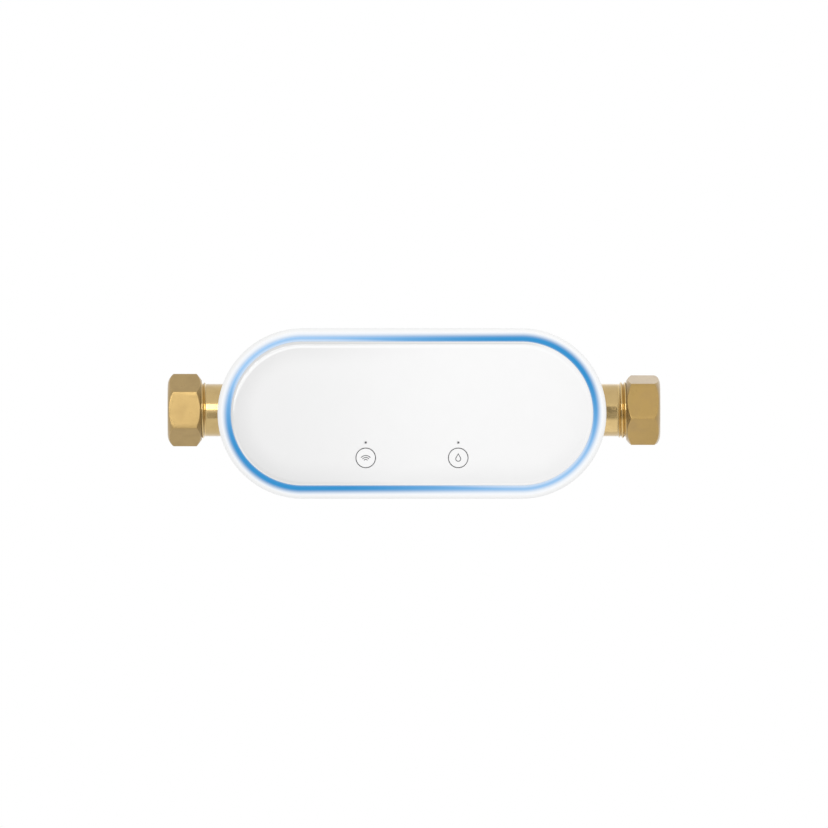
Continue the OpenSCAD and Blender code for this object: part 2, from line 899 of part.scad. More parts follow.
// Four screws that hold the board to the ledge
module board_screws() {
    color("silver") upright() at_board_screws() {
        rod(board_screw_r, ledge_z - ledge_thick, board_top + weld);
        rod(board_head_r, board_top, board_top + board_head_h);
    }
}

// Shielded radio on the board
module radio_module() {
    color("silver") upright() translate([spine_half, mid_y, 0]) {
        block(radio_board, board_top, board_top + radio_board_h);
        translate([-radio_can_in, 0, 0])
            block(radio_can, board_top + radio_board_h - weld, board_top + radio_can_h);
    }
}

// Round capacitors on the board
module board_capacitors() {
    capacitor_r = 3;
    capacitor_h = 5;
    capacitor_pitch = 9;
    color("midnightblue") upright() for (i = [-1:1])
        translate([-spine_half, mid_y + i * capacitor_pitch, 0])
            rod(capacitor_r, board_top, board_top + capacitor_h);
}

// Plug connectors under the board
module board_connectors() {
    color("ivory") upright() for (i = [0:2]) translate(plug_at(i)) difference() {
        block(plug_size, -plug_h, 0);
        block(plug_size - 2 * [plug_wall, plug_wall], -plug_h - weld, -plug_floor);
    }
}

// Chip under the board that reads the stem's position
module position_sensor() {
    color("black") upright() translate([output_at[0], output_at[1], 0])
        block(sense_chip, ledge_z - sense_chip_h, ledge_z);
}

// Places a drawing on the power socket's axis, with z pointing into the housing
module power_axis() {
    translate([power_ahead, underside_y, power_z]) rotate([-90, 0, 0]) children();
}

// Round low-voltage socket in the underside, with three contact holes
module power_socket() {
    color("dimgray") upright() power_axis() difference() {
        union() {
            rod(power_shell_r, 0, power_length);
            rod(power_flange_r, wall + slip, wall + power_flange);
        }
        rod(power_r, -weld, power_bore_depth);
        for (i = [0:2]) rotate([0, 0, 120 * i]) translate([power_r / 2, 0, 0])
            rod(contact_r, power_bore_depth - weld, power_bore_depth + contact_depth);
    }
}

// Brass body: ball chamber, throat and turbine chamber on one axis, with the bonnet on top
module valve_body() {
    color("goldenrod") upright() difference() {
        union() {
            pipe_rod(body_r, body_x0, throat_x0);
            pipe_rod(throat_r, throat_x0 - weld, turbine_x0 - turbine_end + weld);
            pipe_rod(turbine_body_r, turbine_x0 - turbine_end, body_x1);
            translate([ball_x, 0, 0]) {
                rod(stem_boss_r, 0, bonnet_z);
                block([bonnet_side, bonnet_side], bonnet_z - bonnet_thick, bonnet_z);
            }
            pressure_axis() rod(pressure_boss_r, 0, pressure_face);
            probe_axis() rod(probe_boss_r, 0, probe_face);
            translate([rotor_x, 0, 0]) block([flow_pad, flow_pad], 0, flow_pad_z);
        }
        pipe_rod(chamber_r, body_x0 - weld, chamber_x1);
        pipe_rod(bore_r, chamber_x1 - weld, turbine_x0 + weld);
        pipe_rod(turbine_r, turbine_x0, turbine_x1 + weld);
        pipe_rod(counterbore_r, turbine_x1, body_x1 + weld);
        translate([ball_x, 0, 0]) {
            rod(stem_flange_r + clear, 0, stem_flange_top + slip);
            rod(stem_r + run, 0, bonnet_z + weld);
            rod(gland_r, packing_z, bonnet_z + weld);
            at_bonnet_screws() rod(bonnet_screw_r + run, bonnet_z - bonnet_thick - weld,
                                   bonnet_z + weld);
        }
        pressure_axis() {
            rod(pressure_shank_r + slip, throat_r - pressure_well, pressure_face + weld);
            rod(pressure_way_r, 0, throat_r);
        }
        probe_axis() rod(probe_r + slip, 0, probe_face + weld);
    }
}

// Places a drawing on the pressure port, with z pointing down and out
module pressure_axis() {
    translate([sensor_x, 0, 0]) rotate([90, 0, 0]) children();
}

// Places a drawing on the temperature port, with z pointing to the back
module probe_axis() {
    translate([sensor_x, 0, 0]) rotate([180, 0, 0]) children();
}

// Puts copies at the four screws between the gearbox and the bonnet
module at_bonnet_screws() {
    for (x = [-1, 1], y = [-1, 1])
        translate([x * bonnet_screw_at, y * bonnet_screw_at, 0]) children();
}

// Outline of the connection thread's ridges, as [radius, place along the pipe]
function thread_ridges() =
    let (turns = floor((thread_length - thread_runout) / thread_pitch), crest = thread_pitch / 8)
    [for (i = [0:turns - 1]) let (x = thread_x + thread_runout / 2 + i * thread_pitch) each [
        [thread_r, x], [thread_r, x + crest],
        [thread_root_r, x + thread_pitch / 2], [thread_r, x + thread_pitch - crest]
    ]];

// A connection piece on the outlet side: spigot, hexagon, neck and threaded socket
module connector(spigot_r, spigot_from, flange_from) {
    groove_x = flange_from - groove_in;
    flange_x = flange_from + weld;
    difference() {
        union() {
            pipe_turn(concat(
                [[0, spigot_from], [spigot_r, spigot_from], [spigot_r, groove_x],
                 [spigot_r - seal_groove, groove_x],
                 [spigot_r - seal_groove, groove_x + seal_groove + slip],
                 [spigot_r, groove_x + seal_groove + slip], [spigot_r, flange_x],
                 [neck_r, flange_x], [neck_r, thread_x], [thread_r - thread_runout, thread_x]],
                thread_ridges(),
                [[thread_r, mouth_x - mouth_edge], [mouth_r + slip, mouth_x], [0, mouth_x]]
            ));
            pipe_hex(flange_flats, flange_from, flange_from + flange_length);
        }
        pipe_rod(bore_r, spigot_from - weld, flange_from + weld);
        pipe_rod(way_r, flange_from, socket_x + weld);
        pipe_rod(socket_r, socket_x, mouth_x + weld);
        translate([mouth_x - mouth_cone, 0, 0]) rotate([0, 90, 0])
            cylinder(r1 = socket_r, r2 = mouth_r, h = mouth_cone);
    }
}

// Inlet connection, whose spigot holds the upstream seat against the ball
module inlet_connector() {
    color("goldenrod") upright() rotate([0, 0, 180])
        connector(chamber_r - slip, -spigot_x, -body_x0);
}

// Outlet connection, whose spigot holds the turbine in its chamber
module outlet_connector() {
    color("goldenrod") upright()
        connector(counterbore_r - slip, turbine_x1 + slip, body_x1);
}

// Ring seals in the connections' spigots
module connector_seals() {
    color("dimgray") upright() {
        rotate([0, 0, 180]) spigot_seal(chamber_r, -body_x0);
        spigot_seal(counterbore_r, body_x1);
    }
}

// One round ring seal in a spigot's groove
module spigot_seal(seat_r, flange_from) {
    translate([flange_from - groove_in + (seal_groove + slip) / 2, 0, 0]) rotate([0, 90, 0])
        rotate_extrude() translate([seat_r - slip - seal_groove / 2, 0]) circle(r = seal_r);
}

// Compression nut on the outlet side, with its inner end at x and a domed outer end
module nut(x, turn) {
    outer_x = x + nut_length;
    inner_r0 = nut_bore_r + nut_edge;
    far_r = nut_corner_r + weld;
    crown_angle = acos((far_r - nut_face_r) / nut_crown_r);
    color("goldenrod") difference() {
        intersection() {
            pipe_hex(nut_flats, x, outer_x, turn);
            pipe_turn(concat(
                [[0, x], [inner_r0, x], [far_r, x + (far_r - inner_r0) * tan(nut_inner_angle)]],
                arc([nut_face_r, outer_x - nut_crown_r], nut_crown_r, crown_angle, 90),
                [[0, outer_x]]
            ));
        }
        pipe_rod(nut_bore_r, x - weld, outer_x - nut_lip);
        pipe_rod(nut_hole_r, x, outer_x + weld);
    }
}

module inlet_nut() {
    upright() rotate([0, 0, 180]) nut(thread_x + inlet_nut_gap, 0);
}

module outlet_nut() {
    upright() nut(thread_x + outlet_nut_gap, outlet_nut_turn);
}

// Compression ring between a nut and the mouth of its connection
module olive() {
    color("goldenrod") pipe_turn([
        [olive_bore_r, olive_x], [olive_end_r, olive_x],
        [olive_mid_r, olive_x + olive_length / 2],
        [olive_end_r, olive_x + olive_length], [olive_bore_r, olive_x + olive_length]
    ]);
}

module inlet_olive() { upright() rotate([0, 0, 180]) olive(); }
module outlet_olive() { upright() olive(); }

// Ball with its water way and the slot for the stem
module ball() {
    color("silver") upright() translate([ball_x, 0, 0]) difference() {
        sphere(r = ball_r);
        pipe_rod(bore_r, -ball_r - weld, ball_r + weld);
        translate([-ball_r - weld, -slot_width / 2, slot_floor])
            cube([2 * ball_r + 2 * weld, slot_width, ball_r]);
    }
}

// Ball seat on the downstream side, cut to the ball
module seat() {
    difference() {
        pipe_ring(bore_r + seat_ease, chamber_r - slip, seat_end - seat_length, seat_end);
        sphere(r = ball_r + slip);
    }
}

module downstream_seat() {
    color("white") upright() translate([ball_x, 0, 0]) seat();
}

module upstream_seat() {
    color("white") upright() translate([ball_x, 0, 0]) rotate([0, 0, 180]) seat();
}

// Stem: tang in the ball's slot, flange under the bonnet, square drive for the output gear
module valve_stem() {
    color("silver") upright() translate([ball_x, 0, 0]) {
        block([tang_length, slot_width - 2 * slip], slot_floor + slip, stem_flange_z + weld);
        rod(stem_flange_r, stem_flange_z, stem_flange_top);
        rod(stem_r, stem_flange_top - weld, output_z - slip);
        block([drive_side, drive_side], output_z - slip - weld, stem_top);
    }
}

// Packing ring round the stem
module stem_seal() {
    color("dimgray") upright() translate([ball_x, 0, 0])
        post(stem_r + run, gland_r - slip, packing_z + slip, packing_z + packing_length);
}

// Gland that presses the packing
module stem_gland() {
    color("goldenrod") upright() translate([ball_x, 0, 0])
        post(stem_r + run, gland_r - slip, bonnet_z - gland_length, bonnet_z);
}

// Vanes and hub that carry one end of the turbine's axle
module spider(x0, x1) {
    difference() {
        union() {
            pipe_rod(hub_r, x0, x1);
            for (i = [0:3]) rotate([90 * i, 0, 0])
                translate([x0, -vane_thick / 2, 0]) cube([x1 - x0, vane_thick, sleeve_r0 + vane_sink]);
        }
        pipe_rod(axle_r + run, x0 - weld, x1 + weld);
    }
}

// Upstream vanes of the turbine
module flow_straightener() {
    x0 = turbine_x0 + slip;
    color("white") upright() {
        spider(x0, x0 + straightener_length);
        pipe_ring(sleeve_r0, sleeve_r1, x0, x0 + straightener_length);
    }
}

// Sleeve round the rotor, with the downstream vanes
module turbine_sleeve() {
    color("white") upright() {
        spider(turbine_x1 - straightener_length, turbine_x1);
        pipe_ring(sleeve_r0, sleeve_r1, turbine_x0 + 2 * slip + straightener_length, turbine_x1);
    }
}

// Steel pin that the rotor turns on
module turbine_axle() {
    color("silver") upright() pipe_rod(axle_r, turbine_x0 + axle_in, turbine_x1 - axle_in);
}

// Rotor with slanted blades
module turbine_rotor() {
    x0 = rotor_x - rotor_length / 2;
    color("royalblue") upright() difference() {
        union() {
            pipe_rod(hub_r, x0, x0 + rotor_length);
            intersection() {
                pipe_rod(rotor_r, x0, x0 + rotor_length);
                for (i = [0:rotor_blades - 1])
                    rotate([360 / rotor_blades * i, 0, 0]) translate([rotor_x, 0, 0])
                        rotate([0, 0, blade_slant])
                            translate([-rotor_length, -vane_thick / 2, hub_r - blade_root])
                                cube([2 * rotor_length, vane_thick, rotor_r]);
            }
        }
        pipe_rod(axle_r + run, x0 - weld, x0 + rotor_length + weld);
        rotor_magnet_rods(magnet_hole_r + run, x0 + magnet_hole_floor, x0 + rotor_length + weld);
    }
}

// Two rods on opposite sides of the rotor's hub
module rotor_magnet_rods(r, x0, x1) {
    for (side = [0, 180]) rotate([side, 0, 0])
        translate([0, rotor_magnet_at, 0]) pipe_rod(r, x0, x1);
}

// Magnets in the rotor's hub
module rotor_magnets() {
    color("dimgray") upright()
        rotor_magnet_rods(magnet_hole_r, rotor_x - rotor_length / 2 + magnet_hole_floor + slip,
                          rotor_x + rotor_length / 2);
}

// Magnetic flow sensor on the body's flat pad
module flow_sensor() {
    color("black") upright() translate([rotor_x, 0, 0]) {
        block(flow_sensor_base, flow_pad_z, flow_pad_z + flow_sensor_base_h);
        block(flow_sensor_cap, flow_pad_z + flow_sensor_base_h - weld, flow_pad_z + flow_sensor_h);
    }
}

// Pressure sensor below the throat
module pressure_sensor() {
    hex_z = pressure_face + pressure_seal_h;
    end_z = pressure_face + pressure_length;
    color("silver") upright() pressure_axis() {
        rod(pressure_shank_r, throat_r - pressure_well + pressure_shank_gap, hex_z + weld);
        rod(pressure_hex_r, hex_z, hex_z + pressure_hex_h, $fn = 6);
        rod(pressure_can_r, hex_z + pressure_hex_h - weld, end_z - pressure_plug_h);
        block(pressure_plug, end_z - pressure_plug_h - weld, end_z);
    }
}

// Flat washer seal under the pressure sensor
module pressure_seal() {
    color("dimgray") upright() pressure_axis()
        post(pressure_shank_r + slip, pressure_seal_r, pressure_face,
             pressure_face + pressure_seal_h - slip / 2);
}

// Temperature probe at the back of the throat, with its tip in the water way
module temperature_probe() {
    color("silver") upright() probe_axis() {
        rod(probe_r, bore_r - probe_reach, probe_face + weld);
        rod(probe_hex_r, probe_face, probe_face + probe_hex_h, $fn = 6);
        rod(probe_r, probe_face + probe_hex_h - weld, probe_face + probe_tail);
    }
}

// Tray of the gearbox, screwed to the bonnet, with the motor under its floor
module gearbox_base() {
    floor_z = bonnet_z + base_floor;
    color("slategray") upright() difference() {
        union() {
            translate([box_x0, box_y0, bonnet_z])
                cube([box_x1 - box_x0, box_y1 - box_y0, base_floor]);
            difference() {
                translate([box_x0, box_y0, bonnet_z])
                    cube([box_x1 - box_x0, box_y1 - box_y0, gearbox_top - bonnet_z]);
                translate([box_x0 + box_wall, box_y0 + box_wall, bonnet_z - weld])
                    cube([box_x1 - box_x0 - 2 * box_wall, box_y1 - box_y0 - 2 * box_wall,
                          gearbox_top - bonnet_z + 2 * weld]);
            }
            intersection() {
                at_box_screws() rod(box_post_r, bonnet_z, gearbox_top);
                translate([box_x0, box_y0, bonnet_z])
                    cube([box_x1 - box_x0, box_y1 - box_y0, gearbox_top - bonnet_z]);
            }
        }
        translate([ball_x, 0, 0]) {
            rod(stem_r + clear, bonnet_z - weld, floor_z + weld);
            at_bonnet_screws() {
                rod(bonnet_screw_r + slip, bonnet_z - weld, floor_z + weld);
                rod(bonnet_head_r + slip, floor_z - box_head_h - slip, floor_z + weld);
            }
        }
        translate([motor_at[0], motor_at[1], 0]) rod(motor_spigot_r + slip, bonnet_z - weld,
                                                         floor_z + weld);
        translate([idler_at[0], idler_at[1], 0])
            rod(idler_pin_r + run, bonnet_z - weld, floor_z + weld);
        at_box_screws() rod(box_screw_r + run, floor_z + box_screw_floor, gearbox_top + weld);
    }
}

// Lid of the gearbox
module gearbox_cover() {
    color("slategray") upright() difference() {
        translate([box_x0, box_y0, gearbox_top])
            cube([box_x1 - box_x0, box_y1 - box_y0, gearbox_lid]);
        translate([ball_x, 0, 0]) rod(drive_side, gearbox_top - weld, lid_z + weld);
        translate([idler_at[0], idler_at[1], 0])
            rod(idler_pin_r + run, gearbox_top - weld, lid_z + weld);
        at_box_screws() {
            rod(box_screw_r + slip, gearbox_top - weld, lid_z + weld);
            rod(box_head_r + slip, lid_z - box_head_h, lid_z + weld);
        }
    }
}

// Screws of the gearbox's lid, and those that hold the tray to the bonnet
module gearbox_screws() {
    tray_z = bonnet_z + base_floor - slip;
    color("silver") upright() {
        at_box_screws() {
            rod(box_screw_r, bonnet_z + base_floor + box_screw_end, lid_z - box_head_h / 2);
            rod(box_head_r, lid_z - box_head_h, lid_z);
        }
        translate([ball_x, 0, 0]) at_bonnet_screws() {
            rod(bonnet_screw_r, bonnet_z - bonnet_thick, tray_z - box_head_h / 2);
            rod(bonnet_head_r, tray_z - box_head_h, tray_z);
        }
    }
}

// Can motor under the gearbox's tray
module motor() {
    color("silver") upright() translate([motor_at[0], motor_at[1], 0]) difference() {
        union() {
            rod(motor_d / 2, bonnet_z - motor_length, bonnet_z);
            rod(motor_spigot_r, bonnet_z - weld, bonnet_z + base_floor);
            rod(motor_cap_r, bonnet_z - motor_length - motor_cap, bonnet_z - motor_length + weld);
        }
        rod(shaft_r + run, bonnet_z - shaft_hole_in, bonnet_z + base_floor + weld);
    }
}

// Motor's shaft and pinion
module motor_pinion() {
    color("goldenrod") upright() translate([motor_at[0], motor_at[1], 0]) {
        rod(shaft_r, bonnet_z - shaft_in, wheel_z);
        translate([0, 0, wheel_z - pinion_below]) rotate([0, 0, heading(motor_at, idler_at)])
            linear_extrude(height = wheel_width + pinion_below + pinion_above)
                polygon(gear_outline(pinion_teeth));
    }
}

// Idler: a wheel driven by the motor and a pinion that drives the output gear
module idler_gear() {
    color("ivory") upright() translate([idler_at[0], idler_at[1], 0]) difference() {
        union() {
            translate([0, 0, wheel_z])
                rotate([0, 0, heading(idler_at, motor_at) + half_pitch(wheel_teeth)])
                    linear_extrude(height = wheel_width) polygon(gear_outline(wheel_teeth));
            translate([0, 0, output_z - idler_foot])
                rotate([0, 0, heading(idler_at, output_at)])
                    linear_extrude(height = wheel_z - output_z + idler_foot + weld)
                        polygon(gear_outline(idler_teeth));
        }
        rod(idler_pin_r + run, output_z - idler_foot - weld, gearbox_top);
    }
}

// Steel pin that the idler turns on
module idler_pin() {
    color("silver") upright() translate([idler_at[0], idler_at[1], 0])
        rod(idler_pin_r, bonnet_z + slip, lid_z);
}

// Output gear on the stem's square drive
module output_gear() {
    color("ivory") upright() translate([output_at[0], output_at[1], 0]) difference() {
        translate([0, 0, output_z])
            rotate([0, 0, heading(output_at, idler_at) + half_pitch(output_teeth)])
                linear_extrude(height = output_width) polygon(gear_outline(output_teeth));
        block([drive_side + slip, drive_side + slip], output_z - weld, output_z + output_width + weld);
    }
}

// Magnet on the end of the stem, read by the chip under the board
module position_magnet() {
    color("dimgray") upright() translate([ball_x, 0, 0]) rod(magnet_r, stem_top, stem_top + magnet_h);
}

// Round cable along a smooth route
module lead(route, r) {
    sides = 8;
    path = smooth(route);
    last = len(path) - 1;
    polyhedron(
        points = [for (i = [0:last]) each path_ring(path, i, r, sides)],
        faces = concat(
            [[for (k = [0:sides - 1]) k]],
            [for (i = [0:last - 1], k = [0:sides - 1]) let (n = (k + 1) % sides) each [
                [i * sides + k, (i + 1) * sides + k, (i + 1) * sides + n],
                [i * sides + k, (i + 1) * sides + n, i * sides + n]
            ]],
            [[for (k = [sides - 1:-1:0]) last * sides + k]]
        )
    );
}

// Supply cable from the power socket to the board
module power_lead() {
    from = [power_ahead, underside_y + power_length, power_z];
    to = plug_end(2);
    color("dimgray") upright() lead([
        from, from + [0, 2, 0], from + [0, 4, 0], from + [6, 9, 8], [to[0], from[1] + 10, to[2] - 27],
        [to[0], -12, to[2] - 10], to - [0, 4, 6], to - [0, 0, 3], to
    ], lead_r);
}

// Motor's cable, from its end cap to the board
module motor_lead() {
    from = [motor_at[0], motor_at[1], bonnet_z - motor_length - motor_cap];
    to = plug_end(0);
    color("firebrick") upright() lead([
        from, from - [0, 0, 1.5], from - [0, 0, 3], from + [8, 6, -5], [to[0] - 3, motor_up + 7, 4],
        [to[0], motor_up, to[2] - 17], to + [0, 3, -6], to - [0, 0, 3], to
    ], lead_r);
}

// Cables of the pressure sensor and the flow sensor
module sensor_leads() {
    pressure_from = [sensor_x, pressure_tail, 0];
    flow_from = [rotor_x, 0, flow_pad_z + flow_sensor_h];
    pressure_to = plug_end(1, -plug_size[0] / 5);
    flow_to = plug_end(1, plug_size[0] / 5);
    color("black") upright() {
        lead([
            pressure_from, pressure_from - [0, lead_room / 6, 0], pressure_from - [0, lead_room / 3, 0],
            pressure_from + [7, -lead_room * 3 / 5, 7],
            pressure_from + [18, 4, 22], [pressure_to[0], -14, pressure_to[2] - 8],
            pressure_to - [0, 4, 6], pressure_to - [0, 0, 3], pressure_to
        ], lead_r);
        lead([
            flow_from, flow_from + [0, 0, 2], flow_from + [0, 0, 4],
            [flow_to[0], flow_to[1] - 6, flow_to[2] - 8],
            flow_to - [0, 0, 3], flow_to
        ], lead_r);
    }
}

front_cover();
rear_cover();
cover_gasket();
cover_screws();
neck_seals();
front_panel();
panel_carrier();
light_ring();
light_board();
light_chips();
connection_button();
water_button();
connection_plunger();
water_plunger();
connection_switch();
water_switch();
connection_indicator();
water_indicator();
control_board();
board_screws();
radio_module();
board_capacitors();
board_connectors();
position_sensor();
power_socket();
valve_body();
inlet_connector();
outlet_connector();
connector_seals();
inlet_nut();
outlet_nut();
inlet_olive();
outlet_olive();
ball();
upstream_seat();
downstream_seat();
valve_stem();
stem_seal();
stem_gland();
flow_straightener();
turbine_sleeve();
turbine_axle();
turbine_rotor();
rotor_magnets();
flow_sensor();
pressure_sensor();
pressure_seal();
temperature_probe();
gearbox_base();
gearbox_cover();
gearbox_screws();
motor();
motor_pinion();
idler_gear();
idler_pin();
output_gear();
position_magnet();
power_lead();
motor_lead();
sensor_leads();
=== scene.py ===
"""Looks of a smart water valve: a white pill-shaped housing with a lit rim on a brass pipe line.

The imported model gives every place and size, in metres: +X follows the water, +Z is up and the
user stands at -Y. Each sub-assembly has a class below that makes and dresses its pieces.
"""
import json
import logging
import math
from collections.abc import Callable, Iterable, Mapping, Sequence
from dataclasses import dataclass, field
from enum import Enum

import bmesh
import bpy
from mathutils import Matrix, Vector


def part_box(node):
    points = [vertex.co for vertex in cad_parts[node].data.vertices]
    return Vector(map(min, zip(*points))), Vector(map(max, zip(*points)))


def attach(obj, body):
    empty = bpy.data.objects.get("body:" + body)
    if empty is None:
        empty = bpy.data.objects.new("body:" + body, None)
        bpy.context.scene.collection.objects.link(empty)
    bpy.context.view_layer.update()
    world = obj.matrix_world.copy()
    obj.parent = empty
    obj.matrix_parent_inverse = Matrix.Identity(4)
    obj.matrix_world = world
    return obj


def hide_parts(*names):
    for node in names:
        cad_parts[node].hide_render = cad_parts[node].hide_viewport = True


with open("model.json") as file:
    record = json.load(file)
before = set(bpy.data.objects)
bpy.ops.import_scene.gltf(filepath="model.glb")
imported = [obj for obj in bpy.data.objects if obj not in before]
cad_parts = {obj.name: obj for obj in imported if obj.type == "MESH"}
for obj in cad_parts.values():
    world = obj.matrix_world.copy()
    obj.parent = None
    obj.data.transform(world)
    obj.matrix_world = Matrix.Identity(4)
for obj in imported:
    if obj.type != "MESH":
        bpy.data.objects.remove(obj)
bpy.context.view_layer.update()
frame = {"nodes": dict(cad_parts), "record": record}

MM = 0.001
FULL_TURN = 2 * math.pi
SIXTH_TURN = math.pi / 3

Point = tuple[float, float]
Corner = tuple[float, float, float]
Colour = tuple[float, float, float]
Feeds = dict[str, object]
Piece = bpy.types.Object
Vert = bmesh.types.BMVert

ALONG_FLOW = Vector((1, 0, 0)).freeze()
TO_USER = Vector((0, -1, 0)).freeze()
UPWARDS = Vector((0, 0, 1)).freeze()
BLACK: Colour = (0.0, 0.0, 0.0)
WHITE: Colour = (1.0, 1.0, 1.0)

log = logging.getLogger("water_valve")


class Side(Enum):
    """End of the pipe line that a connection is on, with its direction along the flow."""

    INLET = -1
    OUTLET = 1

    @property
    def word(self) -> str:
        """The side's name in the names of its pieces."""
        return self.name.lower()


class Symbol(Enum):
    """What is printed on a button, with the word that begins the names of its pieces."""

    SIGNAL = "connection"
    DROP = "water"

    @property
    def button(self) -> str:
        """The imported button, and the body that it moves with."""
        return self.value + "_button"

    @property
    def light(self) -> str:
        """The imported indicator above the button."""
        return self.value + "_indicator"


class Cut(Enum):
    """How one shape changes another."""

    ADD = "UNION"
    TAKE = "DIFFERENCE"


def arc(centre: Point, r: float, start: float, end: float, steps: int = 8) -> list[Point]:
    """Points along an arc.

    Args:
        centre: Middle of the arc.
        r: Radius of the arc.
        start: First angle, in degrees.
        end: Last angle, in degrees.
        steps: Number of stretches.

    Returns:
        The points from the first angle to the last.
    """
    angles = [math.radians(start + (end - start) * i / steps) for i in range(steps + 1)]
    return [(centre[0] + r * math.cos(a), centre[1] + r * math.sin(a)) for a in angles]


def rounded(corners: Sequence[Corner], steps: int = 5) -> list[Point]:
    """Closed outline with round corners, and a point beside each round that keeps the flats flat.

    Args:
        corners: Both coordinates and the radius of each corner; a radius of 0 leaves it sharp.
        steps: Number of stretches in each round.

    Returns:
        The outline's points.
    """
    # A round takes at most this share of a side, and the point that holds the flat lies just past it.
    most_share, hold = 0.36, 1.3
    points: list[Point] = []
    for i, (a, b, radius) in enumerate(corners):
        here = Vector((a, b))
        before = Vector(corners[i - 1][:2]) - here
        after = Vector(corners[(i + 1) % len(corners)][:2]) - here
        if radius == 0:
            points.append((a, b))
            continue
        half = before.angle(after) / 2
        reach = min(radius / math.tan(half), most_share * min(before.length, after.length))
        before.normalize()
        after.normalize()
        centre = here + (before + after).normalized() * reach / math.cos(half)
        spoke = here + before * reach - centre
        sweep = (math.pi - 2 * half) * math.copysign(1, spoke.cross(here + after * reach - centre))
        points.append(tuple(here + before * reach * hold))
        for step in range(steps + 1):
            turned = Matrix.Rotation(sweep * step / steps, 2) @ spoke
            points.append(tuple(centre + turned))
        points.append(tuple(here + after * reach * hold))
    return points


def sharp(points: Iterable[Point]) -> list[Corner]:
    """Corners without a round, from plain points."""
    return [(a, b, 0.0) for a, b in points]


def even_angles(count: int) -> list[float]:
    """Angles once round, with the last on top of the first."""
    return [FULL_TURN * i / count for i in range(count + 1)]


def add_object(name: str, data: bpy.types.ID) -> bpy.types.Object:
    """Adds an object to the scene.

    Args:
        name: Its name.
        data: Its mesh, lamp or camera.

    Returns:
        The object.
    """
    made = bpy.data.objects.new(name, data)
    bpy.context.scene.collection.objects.link(made)
    return made


@dataclass(frozen=True)
class Axis:
    """A line that round shapes are turned about."""

    origin: Vector
    along: Vector
    across: Vector

    @classmethod
    def facing(cls, place: Vector) -> "Axis":
        """The line through a place that points to the user."""
        return cls(Vector((place.x, 0, place.z)), TO_USER, ALONG_FLOW)

    @classmethod
    def through(cls, node: str) -> "Axis":
        """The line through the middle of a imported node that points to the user."""
        low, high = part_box(node)
        return cls.facing((low + high) / 2)

    def point(self, r: float, at: float, angle: float) -> Vector:
        """A point about the line.

        Args:
            r: Distance from the line.
            at: Place along the line.
            angle: Angle from the direction across.

        Returns:
            The point.
        """
        aside = self.along.cross(self.across)
        spoke = math.cos(angle) * self.across + math.sin(angle) * aside
        return self.origin + at * self.along + r * spoke

    def circle(self, r: float, at: float, count: int) -> list[Vector]:
        """Points of a circle about the line."""
        return [self.point(r, at, FULL_TURN * i / count) for i in range(count)]

    def off(self, place: Vector) -> float:
        """Distance of a place from the line."""
        return (place - self.origin).cross(self.along).length


@dataclass(frozen=True)
class Pill:
    """The housing's outline: all points at one distance from a straight spine."""

    middle: Vector
    spine_half: float
    end_r: float
    turn_steps: int = 72

    @classmethod
    def from_frame(cls) -> "Pill":
        """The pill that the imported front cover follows.

        Returns:
            The pill.
        """
        low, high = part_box("front_cover")
        end_r = (high.z - low.z) / 2
        return cls((low + high) / 2, (high.x - low.x) / 2 - end_r, end_r)

    def loop(self, r: float, front: float) -> list[Vector]:
        """A closed loop along the pill.

        Args:
            r: Distance from the spine.
            front: Reach towards the user.

        Returns:
            The loop's points.
        """
        points = []
        for end in (1, -1):
            for step in range(self.turn_steps + 1):
                angle = math.pi * (step / self.turn_steps - end / 2)
                x = self.middle.x + end * self.spine_half + r * math.cos(angle)
                points.append(Vector((x, -front, self.middle.z + r * math.sin(angle))))
        return points

    def loops(self, section: Iterable[Point]) -> list[list[Vector]]:
        """The loops that a section's points draw along the pill."""
        return [self.loop(r, front) for r, front in section]


@dataclass(frozen=True)
class Thread:
    """A right-hand screw thread on a pipe axis, whose form gives shares of the pitch and the height."""

    start: float
    end: float
    foot_r: float
    height: float
    pitch: float
    runout: float = 1.0 * MM
    full_end: bool = False
    form: tuple[Point, ...] = (
        (0.0, 1.0), (0.1, 0.98), (0.2, 0.78), (0.38, 0.16),
        (0.5, 0.0), (0.62, 0.16), (0.8, 0.78), (0.9, 0.98),
    )

    def rows(self, angle: float) -> list[Point]:
        """Section of the thread at an angle round the pipe.

        Args:
            angle: Angle from 0 to a full turn.

        Returns:
            Points of radius and place; those past either end lie on that end.
        """
        points = []
        for turn in range(-1, math.ceil((self.end - self.start) / self.pitch)):
            for share, rise in self.form:
                at = self.start + self.pitch * (turn + share + angle / FULL_TURN)
                at = min(max(at, self.start), self.end)
                near_start = min(1.0, (at - self.start) / self.runout)
                near_end = min(1.0, (self.end - at) / self.runout)
                swell = rise * min(near_start, near_end)
                if self.full_end:
                    swell = max(rise * near_start, 1 - near_end)
                points.append((self.foot_r + self.height * swell, at))
        return points


